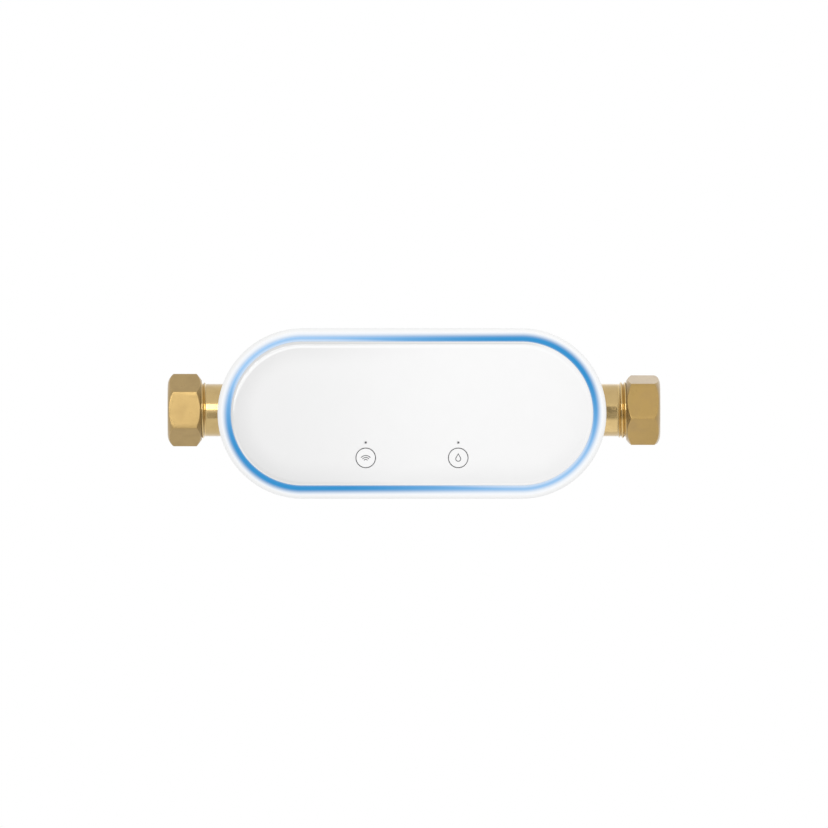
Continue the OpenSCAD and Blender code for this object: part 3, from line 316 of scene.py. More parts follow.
class Draft:
    """A mesh in the making."""

    merge_reach = 1e-6
    crease = math.radians(32)
    wear_from = math.radians(7)
    wear_to = math.radians(15)

    def __init__(self) -> None:
        """Starts with nothing."""
        self.mesh = bmesh.new()

    def ring(self, points: Iterable[Vector]) -> list[Vert]:
        """Adds a row of points."""
        return [self.mesh.verts.new(point) for point in points]

    def join(self, first: Sequence[Vert], second: Sequence[Vert]) -> None:
        """Adds the band of faces between two closed rings of as many points."""
        for i in range(len(first)):
            self.mesh.faces.new((first[i - 1], first[i], second[i], second[i - 1]))

    def skin(self, loops: Iterable[Iterable[Vector]], closed: bool = False) -> list[list[Vert]]:
        """Adds bands of faces from ring to ring.

        Args:
            loops: The points of each ring.
            closed: Whether the last ring is joined to the first.

        Returns:
            The rings.
        """
        rings = [self.ring(loop) for loop in loops]
        for first, second in zip(rings, rings[1:]):
            self.join(first, second)
        if closed:
            self.join(rings[-1], rings[0])
        return rings

    def fill(self, *rings: Sequence[Vert]) -> None:
        """Closes a flat region.

        Args:
            rings: Its edge first, then the holes in it.
        """
        edges = []
        for ring in rings:
            for i, vert in enumerate(ring):
                pair = (ring[i - 1], vert)
                edges.append(self.mesh.edges.get(pair) or self.mesh.edges.new(pair))
        bmesh.ops.triangle_fill(self.mesh, use_beauty=True, edges=edges)

    def spin(self, axis: Axis, section: Iterable[Point], count: int) -> list[list[Vert]]:
        """Adds an open section of radius and place points turned about an axis, as rings."""
        return self.skin(axis.circle(r, at, count) for r, at in section)

    def plug(self, axis: Axis, section: Iterable[Point], count: int) -> None:
        """Adds a solid: an open section turned about an axis, with flat ends.

        Args:
            axis: What the section is turned about.
            section: Points of radius and place, from one end to the other.
            count: Number of points once round.
        """
        rings = self.spin(axis, section, count)
        self.fill(rings[0])
        self.fill(rings[-1])

    def loft(self, axis: Axis, angles: Sequence[float],
             section_at: Callable[[float], Sequence[Point]]) -> None:
        """Adds a solid of closed sections that go once round an axis.

        Args:
            axis: What the sections go round.
            angles: Angles of the sections; the last lies on top of the first.
            section_at: Gives the section of radius and place points at an angle.
        """
        rows = [self.ring(axis.point(r, at, a) for r, at in section_at(a)) for a in angles]
        for first, second in zip(rows, rows[1:]):
            self.join(first, second)

    def prism(self, loops: Sequence[Sequence[Vector]], depth: Vector) -> None:
        """Adds a plate of one thickness.

        Args:
            loops: Its edge and its holes, on one face.
            depth: The way from that face to the other.
        """
        pairs = [self.skin([loop, [point + depth for point in loop]]) for loop in loops]
        self.fill(*[pair[0] for pair in pairs])
        self.fill(*[pair[1] for pair in pairs])

    def shape(self, name: str) -> Piece:
        """Makes the draft an object, with its seams merged and its faces outwards.

        Args:
            name: Name of the object.

        Returns:
            The object.
        """
        bmesh.ops.remove_doubles(self.mesh, verts=self.mesh.verts, dist=self.merge_reach)
        loose = [edge for edge in self.mesh.edges if not edge.link_faces]
        bmesh.ops.delete(self.mesh, geom=loose, context="EDGES")
        bmesh.ops.recalc_face_normals(self.mesh, faces=self.mesh.faces)
        mesh = bpy.data.meshes.new(name)
        self.mesh.to_mesh(mesh)
        self.mesh.free()
        return add_object(name, mesh)

    @classmethod
    def smooth(cls, made: Piece) -> Piece:
        """Shades a finished shape smoothly and marks where its edges would wear.

        Args:
            made: The shape.

        Returns:
            The same shape.
        """
        work = bmesh.new()
        work.from_mesh(made.data)
        layer = work.verts.layers.float.new("wear")
        for vert in work.verts:
            edges = [edge for edge in vert.link_edges if len(edge.link_faces) == 2]
            bend = max((edge.calc_face_angle_signed(0.0) for edge in edges), default=0.0)
            share = (bend - cls.wear_from) / (cls.wear_to - cls.wear_from)
            vert[layer] = min(max(share, 0.0), 1.0)
        work.to_mesh(made.data)
        work.free()
        made.data.shade_smooth()
        made.data.set_sharp_from_angle(angle=cls.crease)
        return made


@dataclass(frozen=True)
class Rod:
    """A plain round bar, as a tool to join or cut with."""

    axis: Axis
    r: float
    start: float
    end: float
    count: int = 96

    def draft(self) -> Draft:
        """The bar's mesh.

        Returns:
            The draft of it.
        """
        made = Draft()
        made.plug(self.axis, [(self.r, self.start), (self.r, self.end)], self.count)
        return made


def evaluated_mesh(made: Piece) -> bpy.types.Mesh:
    """A plain mesh of an object with its modifiers worked out."""
    depsgraph = bpy.context.evaluated_depsgraph_get()
    return bpy.data.meshes.new_from_object(made.evaluated_get(depsgraph))


def carve(made: Piece, rod: Rod, cut: Cut) -> None:
    """Adds a bar to a piece, or takes it away.

    Args:
        made: The piece that changes.
        rod: The bar.
        cut: Whether it is added or taken away.
    """
    other = rod.draft().shape(made.name + "_tool")
    modifier = made.modifiers.new("carve", "BOOLEAN")
    modifier.operation = cut.value
    modifier.solver = "EXACT"
    modifier.use_self = cut is Cut.ADD
    modifier.object = other
    mesh = evaluated_mesh(made)
    made.modifiers.remove(modifier)
    made.data = mesh
    bpy.data.objects.remove(other)


class Sock:
    """A socket of a node tree that can be used in an expression."""

    def __init__(self, graph: "Graph", socket: bpy.types.NodeSocket) -> None:
        """Wraps one output socket."""
        self.graph = graph
        self.socket = socket

    def __add__(self, other: "Sock | float") -> "Sock":
        """Sum."""
        return self.graph.math("ADD", self, other)

    def __radd__(self, other: float) -> "Sock":
        """Sum with a number before it."""
        return self.graph.math("ADD", other, self)

    def __sub__(self, other: "Sock | float") -> "Sock":
        """Difference."""
        return self.graph.math("SUBTRACT", self, other)

    def __rsub__(self, other: float) -> "Sock":
        """Difference from a number."""
        return self.graph.math("SUBTRACT", other, self)

    def __mul__(self, other: "Sock | float") -> "Sock":
        """Product."""
        return self.graph.math("MULTIPLY", self, other)

    def __rmul__(self, other: float) -> "Sock":
        """Product with a number before it."""
        return self.graph.math("MULTIPLY", other, self)

    def __truediv__(self, other: "Sock | float") -> "Sock":
        """Quotient."""
        return self.graph.math("DIVIDE", self, other)

    def __pow__(self, power: float) -> "Sock":
        """Power."""
        return self.graph.math("POWER", self, power)

    def __abs__(self) -> "Sock":
        """Size without the sign."""
        return self.graph.math("ABSOLUTE", self)

    def at_least(self, low: "Sock | float") -> "Sock":
        """The larger of two values."""
        return self.graph.math("MAXIMUM", self, low)

    def fade(self, start: float, end: float) -> "Sock":
        """Goes smoothly from 0 at start to 1 at end."""
        inputs = {"Value": self, "From Min": start, "From Max": end}
        return self.graph.node("ShaderNodeMapRange", {"interpolation_type": "SMOOTHSTEP"}, inputs)["Result"]


class Made:
    """A node that was added, whose outputs are read by name."""

    def __init__(self, graph: "Graph", node: bpy.types.Node) -> None:
        """Keeps the node and its tree."""
        self.graph = graph
        self.node = node

    def __getitem__(self, output: str | int) -> Sock:
        """One output, by name or place."""
        return Sock(self.graph, self.node.outputs[output])


class Graph:
    """A node tree with one way to add a node.

    A Mix node has sockets of the same name for each kind of data, so its colours go by place.
    """

    mix_inputs = (0, 6, 7)
    mix_output = 2

    def __init__(self, tree: bpy.types.NodeTree) -> None:
        """Wraps a tree."""
        self.tree = tree

    def node(self, kind: str, settings: Mapping[str, object] | None = None,
             inputs: Mapping[str | int, object] | None = None) -> Made:
        """Adds a node.

        Args:
            kind: The node's type.
            settings: Its settings, which are set first.
            inputs: Values or links of its sockets, by name or place.

        Returns:
            The node.
        """
        made = self.tree.nodes.new(kind)
        for key, value in (settings or {}).items():
            setattr(made, key, value)
        self.feed(made, inputs or {})
        return Made(self, made)

    def feed(self, node: bpy.types.Node, values: Mapping[str | int, object]) -> None:
        """Links sockets of a node to others, or sets their values.

        Args:
            node: The node.
            values: Value or link of each socket, by name or place.
        """
        for key, value in values.items():
            socket = node.inputs[key]
            if isinstance(value, Sock):
                self.tree.links.new(value.socket, socket)
            elif socket.type == "RGBA":
                socket.default_value = (*value, 1.0)
            else:
                socket.default_value = value

    def math(self, operation: str, *values: "Sock | float") -> Sock:
        """One step of arithmetic on values."""
        return self.node("ShaderNodeMath", {"operation": operation}, dict(enumerate(values)))["Value"]

    def mix(self, share: "Sock | float", first: "Sock | Colour", second: "Sock | Colour") -> Sock:
        """A colour between two others, by a share from 0 to 1."""
        inputs = dict(zip(self.mix_inputs, (share, first, second)))
        return self.node("ShaderNodeMix", {"data_type": "RGBA"}, inputs)[self.mix_output]

    def part(self, vector: Sock, letter: str) -> Sock:
        """One coordinate of a vector."""
        return self.node("ShaderNodeSeparateXYZ", None, {"Vector": vector})[letter]

    def noise(self, coords: Sock, size: float, detail: float = 2.0) -> Sock:
        """Cloudy values about 0.5, with features of one size in metres."""
        sizes = {"Vector": coords, "Scale": 1 / size, "Detail": detail}
        return self.node("ShaderNodeTexNoise", None, sizes)["Fac"]

    def bump(self, height: Sock, relief: float) -> Sock:
        """A normal that follows a height, with a relief in metres."""
        return self.node("ShaderNodeBump", None, {"Height": height, "Distance": relief})["Normal"]

    def wear(self) -> Sock:
        """How far a spot lies on an edge, from the piece's own attribute."""
        return self.node("ShaderNodeAttribute", {"attribute_name": "wear"})["Fac"]


def scaled(colour: Colour, share: float) -> Colour:
    """A colour made darker or lighter, no lighter than white."""
    return tuple(min(1.0, part * share) for part in colour)


@dataclass(frozen=True)
class Finish:
    """How one surface looks."""

    name: str
    colour: Colour
    roughness: float

    def material(self) -> bpy.types.Material:
        """The finish's material, made when it is first asked for.

        Returns:
            The material.
        """
        known = bpy.data.materials.get("look_" + self.name)
        if known:
            return known
        made = bpy.data.materials.new("look_" + self.name)
        made.use_nodes = True
        graph = Graph(made.node_tree)
        shader = made.node_tree.nodes["Principled BSDF"]
        # A plain value stays behind the pattern, for viewers that don't follow patterns.
        graph.feed(shader, {"Roughness": self.roughness})
        graph.feed(shader, self.shade(graph, graph.node("ShaderNodeTexCoord")["Object"]))
        return made

    def shade(self, graph: Graph, coords: Sock) -> Feeds:
        """What feeds the shader.

        Args:
            graph: The material's tree.
            coords: Object coordinates, in metres.

        Returns:
            Value or link of each of the shader's sockets.
        """
        raise NotImplementedError

    def drifting(self, graph: Graph, pattern: Sock, drift: float) -> Sock:
        """The colour, made a little darker or lighter by a pattern from 0 to 1."""
        return graph.mix(pattern, scaled(self.colour, 1 - drift), scaled(self.colour, 1 + drift))

    def uneven(self, pattern: Sock, swing: float) -> Sock:
        """The roughness, made a little less or more by a pattern from 0 to 1."""
        return self.roughness * (1 - swing / 2 + swing * pattern)


@dataclass(frozen=True)
class Moulded(Finish):
    """Plastic or rubber from a mould, with a fine grain and edges that handling has smoothed."""

    grain: float = 0.30 * MM
    grain_detail: float = 3.0
    grain_swing: float = 0.3
    relief: float = 0.003 * MM
    drift: float = 0.015
    drift_size: float = 25 * MM
    edge_gloss: float = 0.1
    least_roughness: float = 0.05
    sheen: float = 0.5

    def shade(self, graph: Graph, coords: Sock) -> Feeds:
        """Colour that drifts, grain in the gloss and in the relief.

        Args:
            graph: The material's tree.
            coords: Object coordinates, in metres.

        Returns:
            Value or link of each of the shader's sockets.
        """
        grain = graph.noise(coords, self.grain, self.grain_detail)
        gloss = self.uneven(grain, self.grain_swing) - self.edge_gloss * graph.wear()
        return {
            "Base Color": self.drifting(graph, graph.noise(coords, self.drift_size), self.drift),
            "Roughness": gloss.at_least(self.least_roughness),
            "Specular IOR Level": self.sheen,
            "Normal": graph.bump(grain, self.relief),
        }


@dataclass(frozen=True)
class RingGlow:
    """The light ring's blue, deeper towards two opposite corners, and how far it spreads."""

    pill: Pill
    full_r: float = 43.9 * MM
    end_r: float = 47.6 * MM
    deep: Colour = (0.022, 0.265, 0.590)
    pale: Colour = (0.260, 0.520, 0.840)
    white: Colour = (0.93, 0.95, 0.98)
    pale_lean: float = -1.15
    deep_lean: float = 0.85
    foot_lean: float = 0.08
    spread: float = 0.3 * MM

    def places(self, graph: Graph, coords: Sock) -> tuple[Sock, Sock, Sock]:
        """Where a spot lies on the housing.

        Args:
            graph: The material's tree.
            coords: Object coordinates, in metres.

        Returns:
            Places along and up from the middle, and the distance from the spine.
        """
        along = graph.part(coords, "X") - self.pill.middle.x
        up = graph.part(coords, "Z") - self.pill.middle.z
        past = (abs(along) - self.pill.spine_half).at_least(0.0)
        return along, up, (past * past + up * up) ** 0.5

    def lean(self, along: Sock, up: Sock) -> Sock:
        """How deep the blue is: positive at the upper right and lower left, negative at the others."""
        return (along / self.pill.spine_half - self.foot_lean) * up / self.full_r

    def light(self, graph: Graph, coords: Sock) -> Sock:
        """Blue at the ring, deeper and wider at the upper right and lower left, that pales to white.

        Args:
            graph: The material's tree.
            coords: Object coordinates, in metres.

        Returns:
            The light's colour.
        """
        along, up, distance = self.places(graph, coords)
        lean = self.lean(along, up)
        blue = graph.mix(lean.fade(self.pale_lean, self.deep_lean), self.pale, self.deep)
        reach = (distance - self.spread * lean).fade(self.end_r, self.full_r)
        return graph.mix(reach, self.white, blue)


@dataclass(frozen=True)
class PaintedGlowMoulded(Moulded):
    """White plastic with a painted glow beside the light ring: the ring's light is painted into its colour
    and emission.
    """

    glow: RingGlow = field(kw_only=True)
    painted_glow_front: float = 45.5 * MM
    painted_glow_edge: float = 0.4 * MM
    # Emission strength of the painted glow.
    shine: float = 0.74

    def shade(self, graph: Graph, coords: Sock) -> Feeds:
        """White plastic with the ring's light painted on in front, as blue colour and emission, up to where
        that light ends.

        Args:
            graph: The material's tree.
            coords: Object coordinates, in metres.

        Returns:
            Value or link of each of the shader's sockets.
        """
        plain = super().shade(graph, coords)
        distance = self.glow.places(graph, coords)[2]
        front = graph.part(coords, "Y").fade(-self.painted_glow_front, -self.painted_glow_front - self.painted_glow_edge)
        # Painted glow: where the ring's light is painted into the shell, in front and near the ring.
        lit = front * distance.fade(self.glow.end_r + self.painted_glow_edge, self.glow.end_r)
        light = self.glow.light(graph, coords)
        return {
            **plain,
            "Base Color": graph.mix(lit, plain["Base Color"], graph.mix(self.shine, light, BLACK)),
            "Emission Color": graph.mix(lit, BLACK, light),
            "Emission Strength": self.shine,
        }


@dataclass(frozen=True)
class LightGuide(Finish):
    """Translucent light guide, lit from behind by a row of chips."""

    glow: RingGlow = field(kw_only=True)
    inner_r: float = field(kw_only=True)
    inner_haze: float = 0.9 * MM
    haze_share: float = 0.22
    haze_growth: float = 1.7
    haze_lean: float = -0.9
    flow: float = 3 * MM
    flow_share: float = 0.6
    flow_swing: float = 0.6
    relief: float = 0.01 * MM
    sheen: float = 0.2
    shine: float = 0.92

    def shade(self, graph: Graph, coords: Sock) -> Feeds:
        """Blue that shines by itself and pales to both sides, with a faint flow pattern in the gloss.

        Args:
            graph: The material's tree.
            coords: Object coordinates, in metres.

        Returns:
            Value or link of each of the shader's sockets.
        """
        flow = graph.noise(coords, self.flow)
        along, up, distance = self.glow.places(graph, coords)
        growth = 1 + self.haze_growth * self.glow.lean(along, up).fade(0.0, self.haze_lean)
        inside = ((distance - self.inner_r) / growth).fade(self.inner_haze, 0.0)
        haze = self.haze_share * growth * inside
        return {
            "Base Color": graph.mix(flow, self.colour, scaled(self.colour, self.flow_share)),
            "Emission Color": graph.mix(haze, self.glow.light(graph, coords), self.glow.white),
            "Emission Strength": self.shine,
            "Roughness": self.uneven(flow, self.flow_swing),
            "Specular IOR Level": self.sheen,
            "Normal": graph.bump(flow, self.relief),
        }


@dataclass(frozen=True)
class Polished(Finish):
    """Glossy plate with the faint waviness of a polished mould."""

    wave: float = 9 * MM
    relief: float = 0.0015 * MM
    drift: float = 0.01
    dust: float = 0.4 * MM
    dust_detail: float = 4.0
    dust_swing: float = 0.4
    coat: float = 0.3
    coat_roughness: float = 0.15

    def tint(self, graph: Graph, coords: Sock) -> Sock:
        """The plate's own colour, which drifts very little."""
        return self.drifting(graph, graph.noise(coords, self.wave), self.drift)

    def shade(self, graph: Graph, coords: Sock) -> Feeds:
        """Even colour, faint dust in the gloss and a slow wave in the relief.

        Args:
            graph: The material's tree.
            coords: Object coordinates, in metres.

        Returns:
            Value or link of each of the shader's sockets.
        """
        dust = graph.noise(coords, self.dust, self.dust_detail)
        return {
            "Base Color": self.tint(graph, coords),
            "Roughness": self.uneven(dust, self.dust_swing),
            "Coat Weight": self.coat,
            "Coat Roughness": self.coat_roughness,
            "Normal": graph.bump(graph.noise(coords, self.wave), self.relief),
        }


@dataclass(frozen=True)
class PaintedLightPlate(Polished):
    """Glossy plate with painted light: a painted highlight and a thin painted shade line along its round
    edge, and painted shade at the left and the foot.
    """

    glow: RingGlow = field(kw_only=True)
    edge_r: float = field(kw_only=True)
    shade_line_in: float = 1.2 * MM
    shade_line_half: float = 0.9 * MM
    shade_line_share: float = 0.79
    shade_line_end: float = 18 * MM
    highlight_in: float = 3.2 * MM
    highlight_half: float = 1.2 * MM
    highlight_share: float = 1.03
    highlight_from: float = 0.6
    shade_in: float = 16 * MM
    shade_share: float = 0.81
    shade_from: float = 0.5
    broad_shade_share: float = 0.45
    foot_shade_share: float = 0.35
    foot_in: float = 4 * MM

    def tint(self, graph: Graph, coords: Sock) -> Sock:
        """Face, painted shade at the left and the foot, a painted highlight at the edge and a painted shade
        line above.

        Args:
            graph: The material's tree.
            coords: Object coordinates, in metres.

        Returns:
            The plate's colour.
        """
        along, up, distance = self.glow.places(graph, coords)
        spine, edge = self.glow.pill.spine_half, self.edge_r
        # Painted shade: darker near the edge, towards the left end and at the foot.
        near = distance.fade(edge - self.shade_in, edge)
        left = along.fade(self.shade_from * spine, -spine - edge)
        foot = self.foot_shade_share * up.fade(0.0, -edge) * distance.fade(edge, edge - self.foot_in)
        shade = (left * (self.broad_shade_share + (1 - self.broad_shade_share) * near)).at_least(foot * near)
        # Painted highlight along the round edge, away from the middle height.
        highlight_at = edge - self.highlight_in * up.fade(-edge, edge)
        off_middle = abs(up).fade(0.0, self.highlight_from * edge)
        highlight = abs(distance - highlight_at).fade(self.highlight_half, 0.0) * off_middle
        # Painted shade line along the straight part of the edge, towards the top.
        straight = abs(along).fade(spine + self.shade_line_end, spine)
        line = abs(distance - (edge - self.shade_line_in)).fade(self.shade_line_half, 0.0)
        line = line * straight * up.fade(-edge, edge)
        shaded = graph.mix(shade, super().tint(graph, coords), scaled(self.colour, self.shade_share))
        highlighted = graph.mix(highlight, shaded, scaled(self.colour, self.highlight_share))
        return graph.mix(line, highlighted, scaled(self.colour, self.shade_line_share))


@dataclass(frozen=True)
class Machined(Finish):
    """Turned metal: fine tool lines across the pipe, cloudy tarnish and bright edges."""

    tarnish: Colour = (0.30, 0.19, 0.07)
    tarnish_share: float = 0.35
    tarnish_from: float = 0.4
    tarnish_to: float = 0.75
    line: float = 0.16 * MM
    line_detail: float = 3.0
    line_swing: float = 0.35
    cloud: float = 7 * MM
    cloud_detail: float = 4.0
    cloud_swing: float = 0.5
    least_swing: float = 0.7
    edge_gloss: float = 0.06
    edge_share: float = 0.45
    edge_bright: float = 1.5
    least_roughness: float = 0.08
    relief: float = 0.004 * MM
    lacquer: float = 0.0

    def shade(self, graph: Graph, coords: Sock) -> Feeds:
        """Metal with tool lines in the gloss and relief, tarnish in hollows and wear on edges.

        Args:
            graph: The material's tree.
            coords: Object coordinates, in metres.

        Returns:
            Value or link of each of the shader's sockets.
        """
        turning = {"W": graph.part(coords, "X"), "Scale": 1 / self.line, "Detail": self.line_detail}
        line = graph.node("ShaderNodeTexNoise", {"noise_dimensions": "1D"}, turning)["Fac"]
        cloud = graph.noise(coords, self.cloud, self.cloud_detail)
        wear = graph.wear()
        dull = cloud.fade(self.tarnish_from, self.tarnish_to) * self.tarnish_share
        tone = graph.mix(dull, self.colour, self.tarnish)
        swing = self.least_swing + self.line_swing * line + self.cloud_swing * cloud
        gloss = self.roughness * swing - self.edge_gloss * wear
        return {
            "Base Color": graph.mix(self.edge_share * wear, tone, scaled(self.colour, self.edge_bright)),
            "Metallic": 1.0,
            "Roughness": gloss.at_least(self.least_roughness),
            "Coat Weight": self.lacquer,
            "Coat Roughness": self.roughness,
            "Normal": graph.bump(line, self.relief),
        }


@dataclass(frozen=True)
class Lacquered(Finish):
    """Circuit board: green lacquer over copper tracks."""

    copper: Colour = (0.12, 0.36, 0.16)
    track: float = 2.4 * MM
    track_from: float = 0.12
    track_to: float = 0.06
    relief: float = 0.03 * MM
    dust: float = 0.5 * MM
    dust_swing: float = 0.4

    def shade(self, graph: Graph, coords: Sock) -> Feeds:
        """Tracks that show as paler, raised lines.

        Args:
            graph: The material's tree.
            coords: Object coordinates, in metres.

        Returns:
            Value or link of each of the shader's sockets.
        """
        cells = graph.node("ShaderNodeTexVoronoi", {"feature": "DISTANCE_TO_EDGE"},
                           {"Vector": coords, "Scale": 1 / self.track})["Distance"]
        tracks = cells.fade(self.track_from, self.track_to)
        return {
            "Base Color": graph.mix(tracks, self.colour, self.copper),
            "Roughness": self.uneven(graph.noise(coords, self.dust), self.dust_swing),
            "Normal": graph.bump(tracks, self.relief),
        }


class Kit:
    """Runs Geometry Nodes trees and keeps what they make."""

    @staticmethod
    def tree(name: str, sizes: Mapping[str, str]) -> tuple[Graph, Made]:
        """Starts a tree.

        Args:
            name: Name of the tree.
            sizes: Type of each named input after the geometry.

        Returns:
            The tree and its input node.
        """
        group = bpy.data.node_groups.new(name, "GeometryNodeTree")
        for label, kind in {"Geometry": "Geometry", **sizes}.items():
            group.interface.new_socket(name=label, in_out="INPUT", socket_type="NodeSocket" + kind)
        group.interface.new_socket(name="Geometry", in_out="OUTPUT", socket_type="NodeSocketGeometry")
        graph = Graph(group)
        return graph, graph.node("NodeGroupInput")

    @staticmethod
    def close(graph: Graph, shape: Sock, material: Sock) -> None:
        """Ends a tree: real faces, in one material.

        Args:
            graph: The tree.
            shape: What it makes.
            material: The material of all its faces.
        """
        real = graph.node("GeometryNodeRealizeInstances", None, {"Geometry": shape})["Geometry"]
        dressed = graph.node("GeometryNodeSetMaterial", None, {"Geometry": real, "Material": material})
        graph.node("NodeGroupOutput", None, {"Geometry": dressed["Geometry"]})

    @staticmethod
    def grow(made: Piece, graph: Graph, values: Mapping[str, object]) -> Piece:
        """Runs a tree on an object and keeps the result as its mesh.

        Args:
            made: The object.
            graph: The tree.
            values: Value of each named input.

        Returns:
            The same object.
        """
        modifier = made.modifiers.new("grow", "NODES")
        modifier.node_group = graph.tree
        for item in graph.tree.interface.items_tree:
            if item.in_out == "INPUT" and item.name in values:
                modifier[item.identifier] = values[item.name]
        mesh = evaluated_mesh(made)
        made.modifiers.remove(modifier)
        made.data = mesh
        return made


def settle(made: Piece, body: str, slot: str, *nodes: str) -> None:
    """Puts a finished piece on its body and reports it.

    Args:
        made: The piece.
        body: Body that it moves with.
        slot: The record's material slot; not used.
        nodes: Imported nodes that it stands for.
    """
    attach(made, body)
    if nodes:
        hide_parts(*nodes)
    log.info("%s rides on %s with %d faces", made.name, body, len(made.data.polygons))


def dress(made: Piece, finish: Finish) -> Piece:
    """Gives a piece its only finish.

    Args:
        made: The piece.
        finish: The finish.

    Returns:
        The piece.
    """
    made.data.materials.clear()
    made.data.materials.append(finish.material())
    return made


def paint(made: Piece, finish: Finish, chosen: Callable[[Vector], bool]) -> Piece:
    """Gives some faces of a piece a second finish.

    Args:
        made: The piece, which has its first finish.
        finish: The second finish.
        chosen: Tells by a face's middle whether the face gets it.

    Returns:
        The piece.
    """
    made.data.materials.append(finish.material())
    for face in made.data.polygons:
        if chosen(face.center):
            face.material_index = len(made.data.materials) - 1
    return made


class Finishes:
    """All the finishes of the valve."""

    white: Colour = (0.955, 0.958, 0.958)
    panel_white: Colour = (0.876, 0.876, 0.876)

    def __init__(self, pill: Pill) -> None:
        """Mixes the finishes.

        Args:
            pill: The housing's outline, which the finishes beside the light ring follow.
        """
        glow = RingGlow(pill)
        low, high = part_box("front_panel")
        panel_r = (high.z - low.z) / 2
        self.shell = Moulded("shell", self.white, 0.45, sheen=0.12)
        # The front shell's finish, with the ring's glow painted into its colour and emission.
        self.lit_shell = PaintedGlowMoulded("lit_shell", self.white, 0.45, sheen=0.12, glow=glow)
        self.panel = Polished("panel", self.panel_white, 0.18)
        # The plate's finish paints light on it: a highlight and a shade line along the edge, and shade at
        # the left and the foot.
        self.plate = PaintedLightPlate("plate", self.panel_white, 0.18, glow=glow, edge_r=panel_r)
        self.light_guide = LightGuide("light_guide", (0.008, 0.05, 0.11), 0.22, glow=glow, inner_r=panel_r)
        self.print = Moulded("print", (0.13, 0.13, 0.14), 0.55)
        self.indicator = Polished("indicator", (0.06, 0.06, 0.07), 0.18)
        self.brass = Machined("brass", (0.38, 0.243, 0.067), 0.28, lacquer=0.8)
        # A paler copy of the nut brass, used on the inlet nut: painted light, for the brighter light that
        # falls on that nut.
        self.brass_painted_lighter = Machined(
            "brass_painted_lighter", (0.39, 0.268, 0.105), 0.28, (0.30, 0.20, 0.08), lacquer=0.12)
        self.bright_brass = Machined(
            "bright_brass", (0.545, 0.39, 0.165), 0.15, (0.42, 0.285, 0.11), lacquer=0.55)
        self.steel = Machined("steel", (0.50, 0.50, 0.51), 0.32, (0.30, 0.29, 0.28), 0.25)
        self.socket = Moulded("socket_polymer", (0.016, 0.016, 0.018), 0.42)
        self.slots: dict[str, Finish] = {
            "white_shell": self.shell,
            "white_panel": self.panel,
            "light_guide": self.light_guide,
            "indicator": self.indicator,
            "brass": self.brass,
            "ball_chrome": Machined("chrome", (0.66, 0.66, 0.68), 0.10, (0.50, 0.50, 0.52), 0.10),
            "steel": self.steel,
            "motor_can": Machined("motor_can", (0.58, 0.58, 0.59), 0.28, (0.40, 0.40, 0.40), 0.2),
            "rubber": Moulded("rubber", (0.022, 0.022, 0.024), 0.72, grain=0.2 * MM, relief=0.01 * MM),
            "seat_polymer": Moulded("seat_polymer", (0.80, 0.80, 0.76), 0.40),
            "flow_polymer": Moulded("flow_polymer", (0.74, 0.74, 0.71), 0.42),
            "rotor_polymer": Moulded("rotor_polymer", (0.03, 0.09, 0.36), 0.36),
            "gear_polymer": Moulded("gear_polymer", (0.74, 0.69, 0.54), 0.44),
            "gearbox_polymer": Moulded("gearbox_polymer", (0.075, 0.085, 0.095), 0.48),
            "frame_polymer": Moulded("frame_polymer", (0.60, 0.60, 0.60), 0.46),
            "board": Lacquered("board", (0.02, 0.13, 0.06), 0.25),
            "light_chip": Polished("light_chip", (0.80, 0.78, 0.45), 0.20),
            "chip_black": Moulded("black", (0.024, 0.024, 0.026), 0.45),
            "shield": Machined("shield", (0.62, 0.62, 0.61), 0.35, (0.46, 0.45, 0.43), 0.3),
            "capacitor": Polished("capacitor", (0.006, 0.008, 0.025), 0.25),
            "plug_polymer": Moulded("plug_polymer", (0.78, 0.74, 0.60), 0.45),
            "socket_polymer": self.socket,
            "magnet": Machined("magnet", (0.14, 0.14, 0.15), 0.30, (0.08, 0.08, 0.08), 0.3),
            "lead_black": Moulded("lead_black", (0.02, 0.02, 0.022), 0.5, relief=0.006 * MM),
            "lead_red": Moulded("lead_red", (0.22, 0.010, 0.008), 0.5, relief=0.006 * MM),
        }


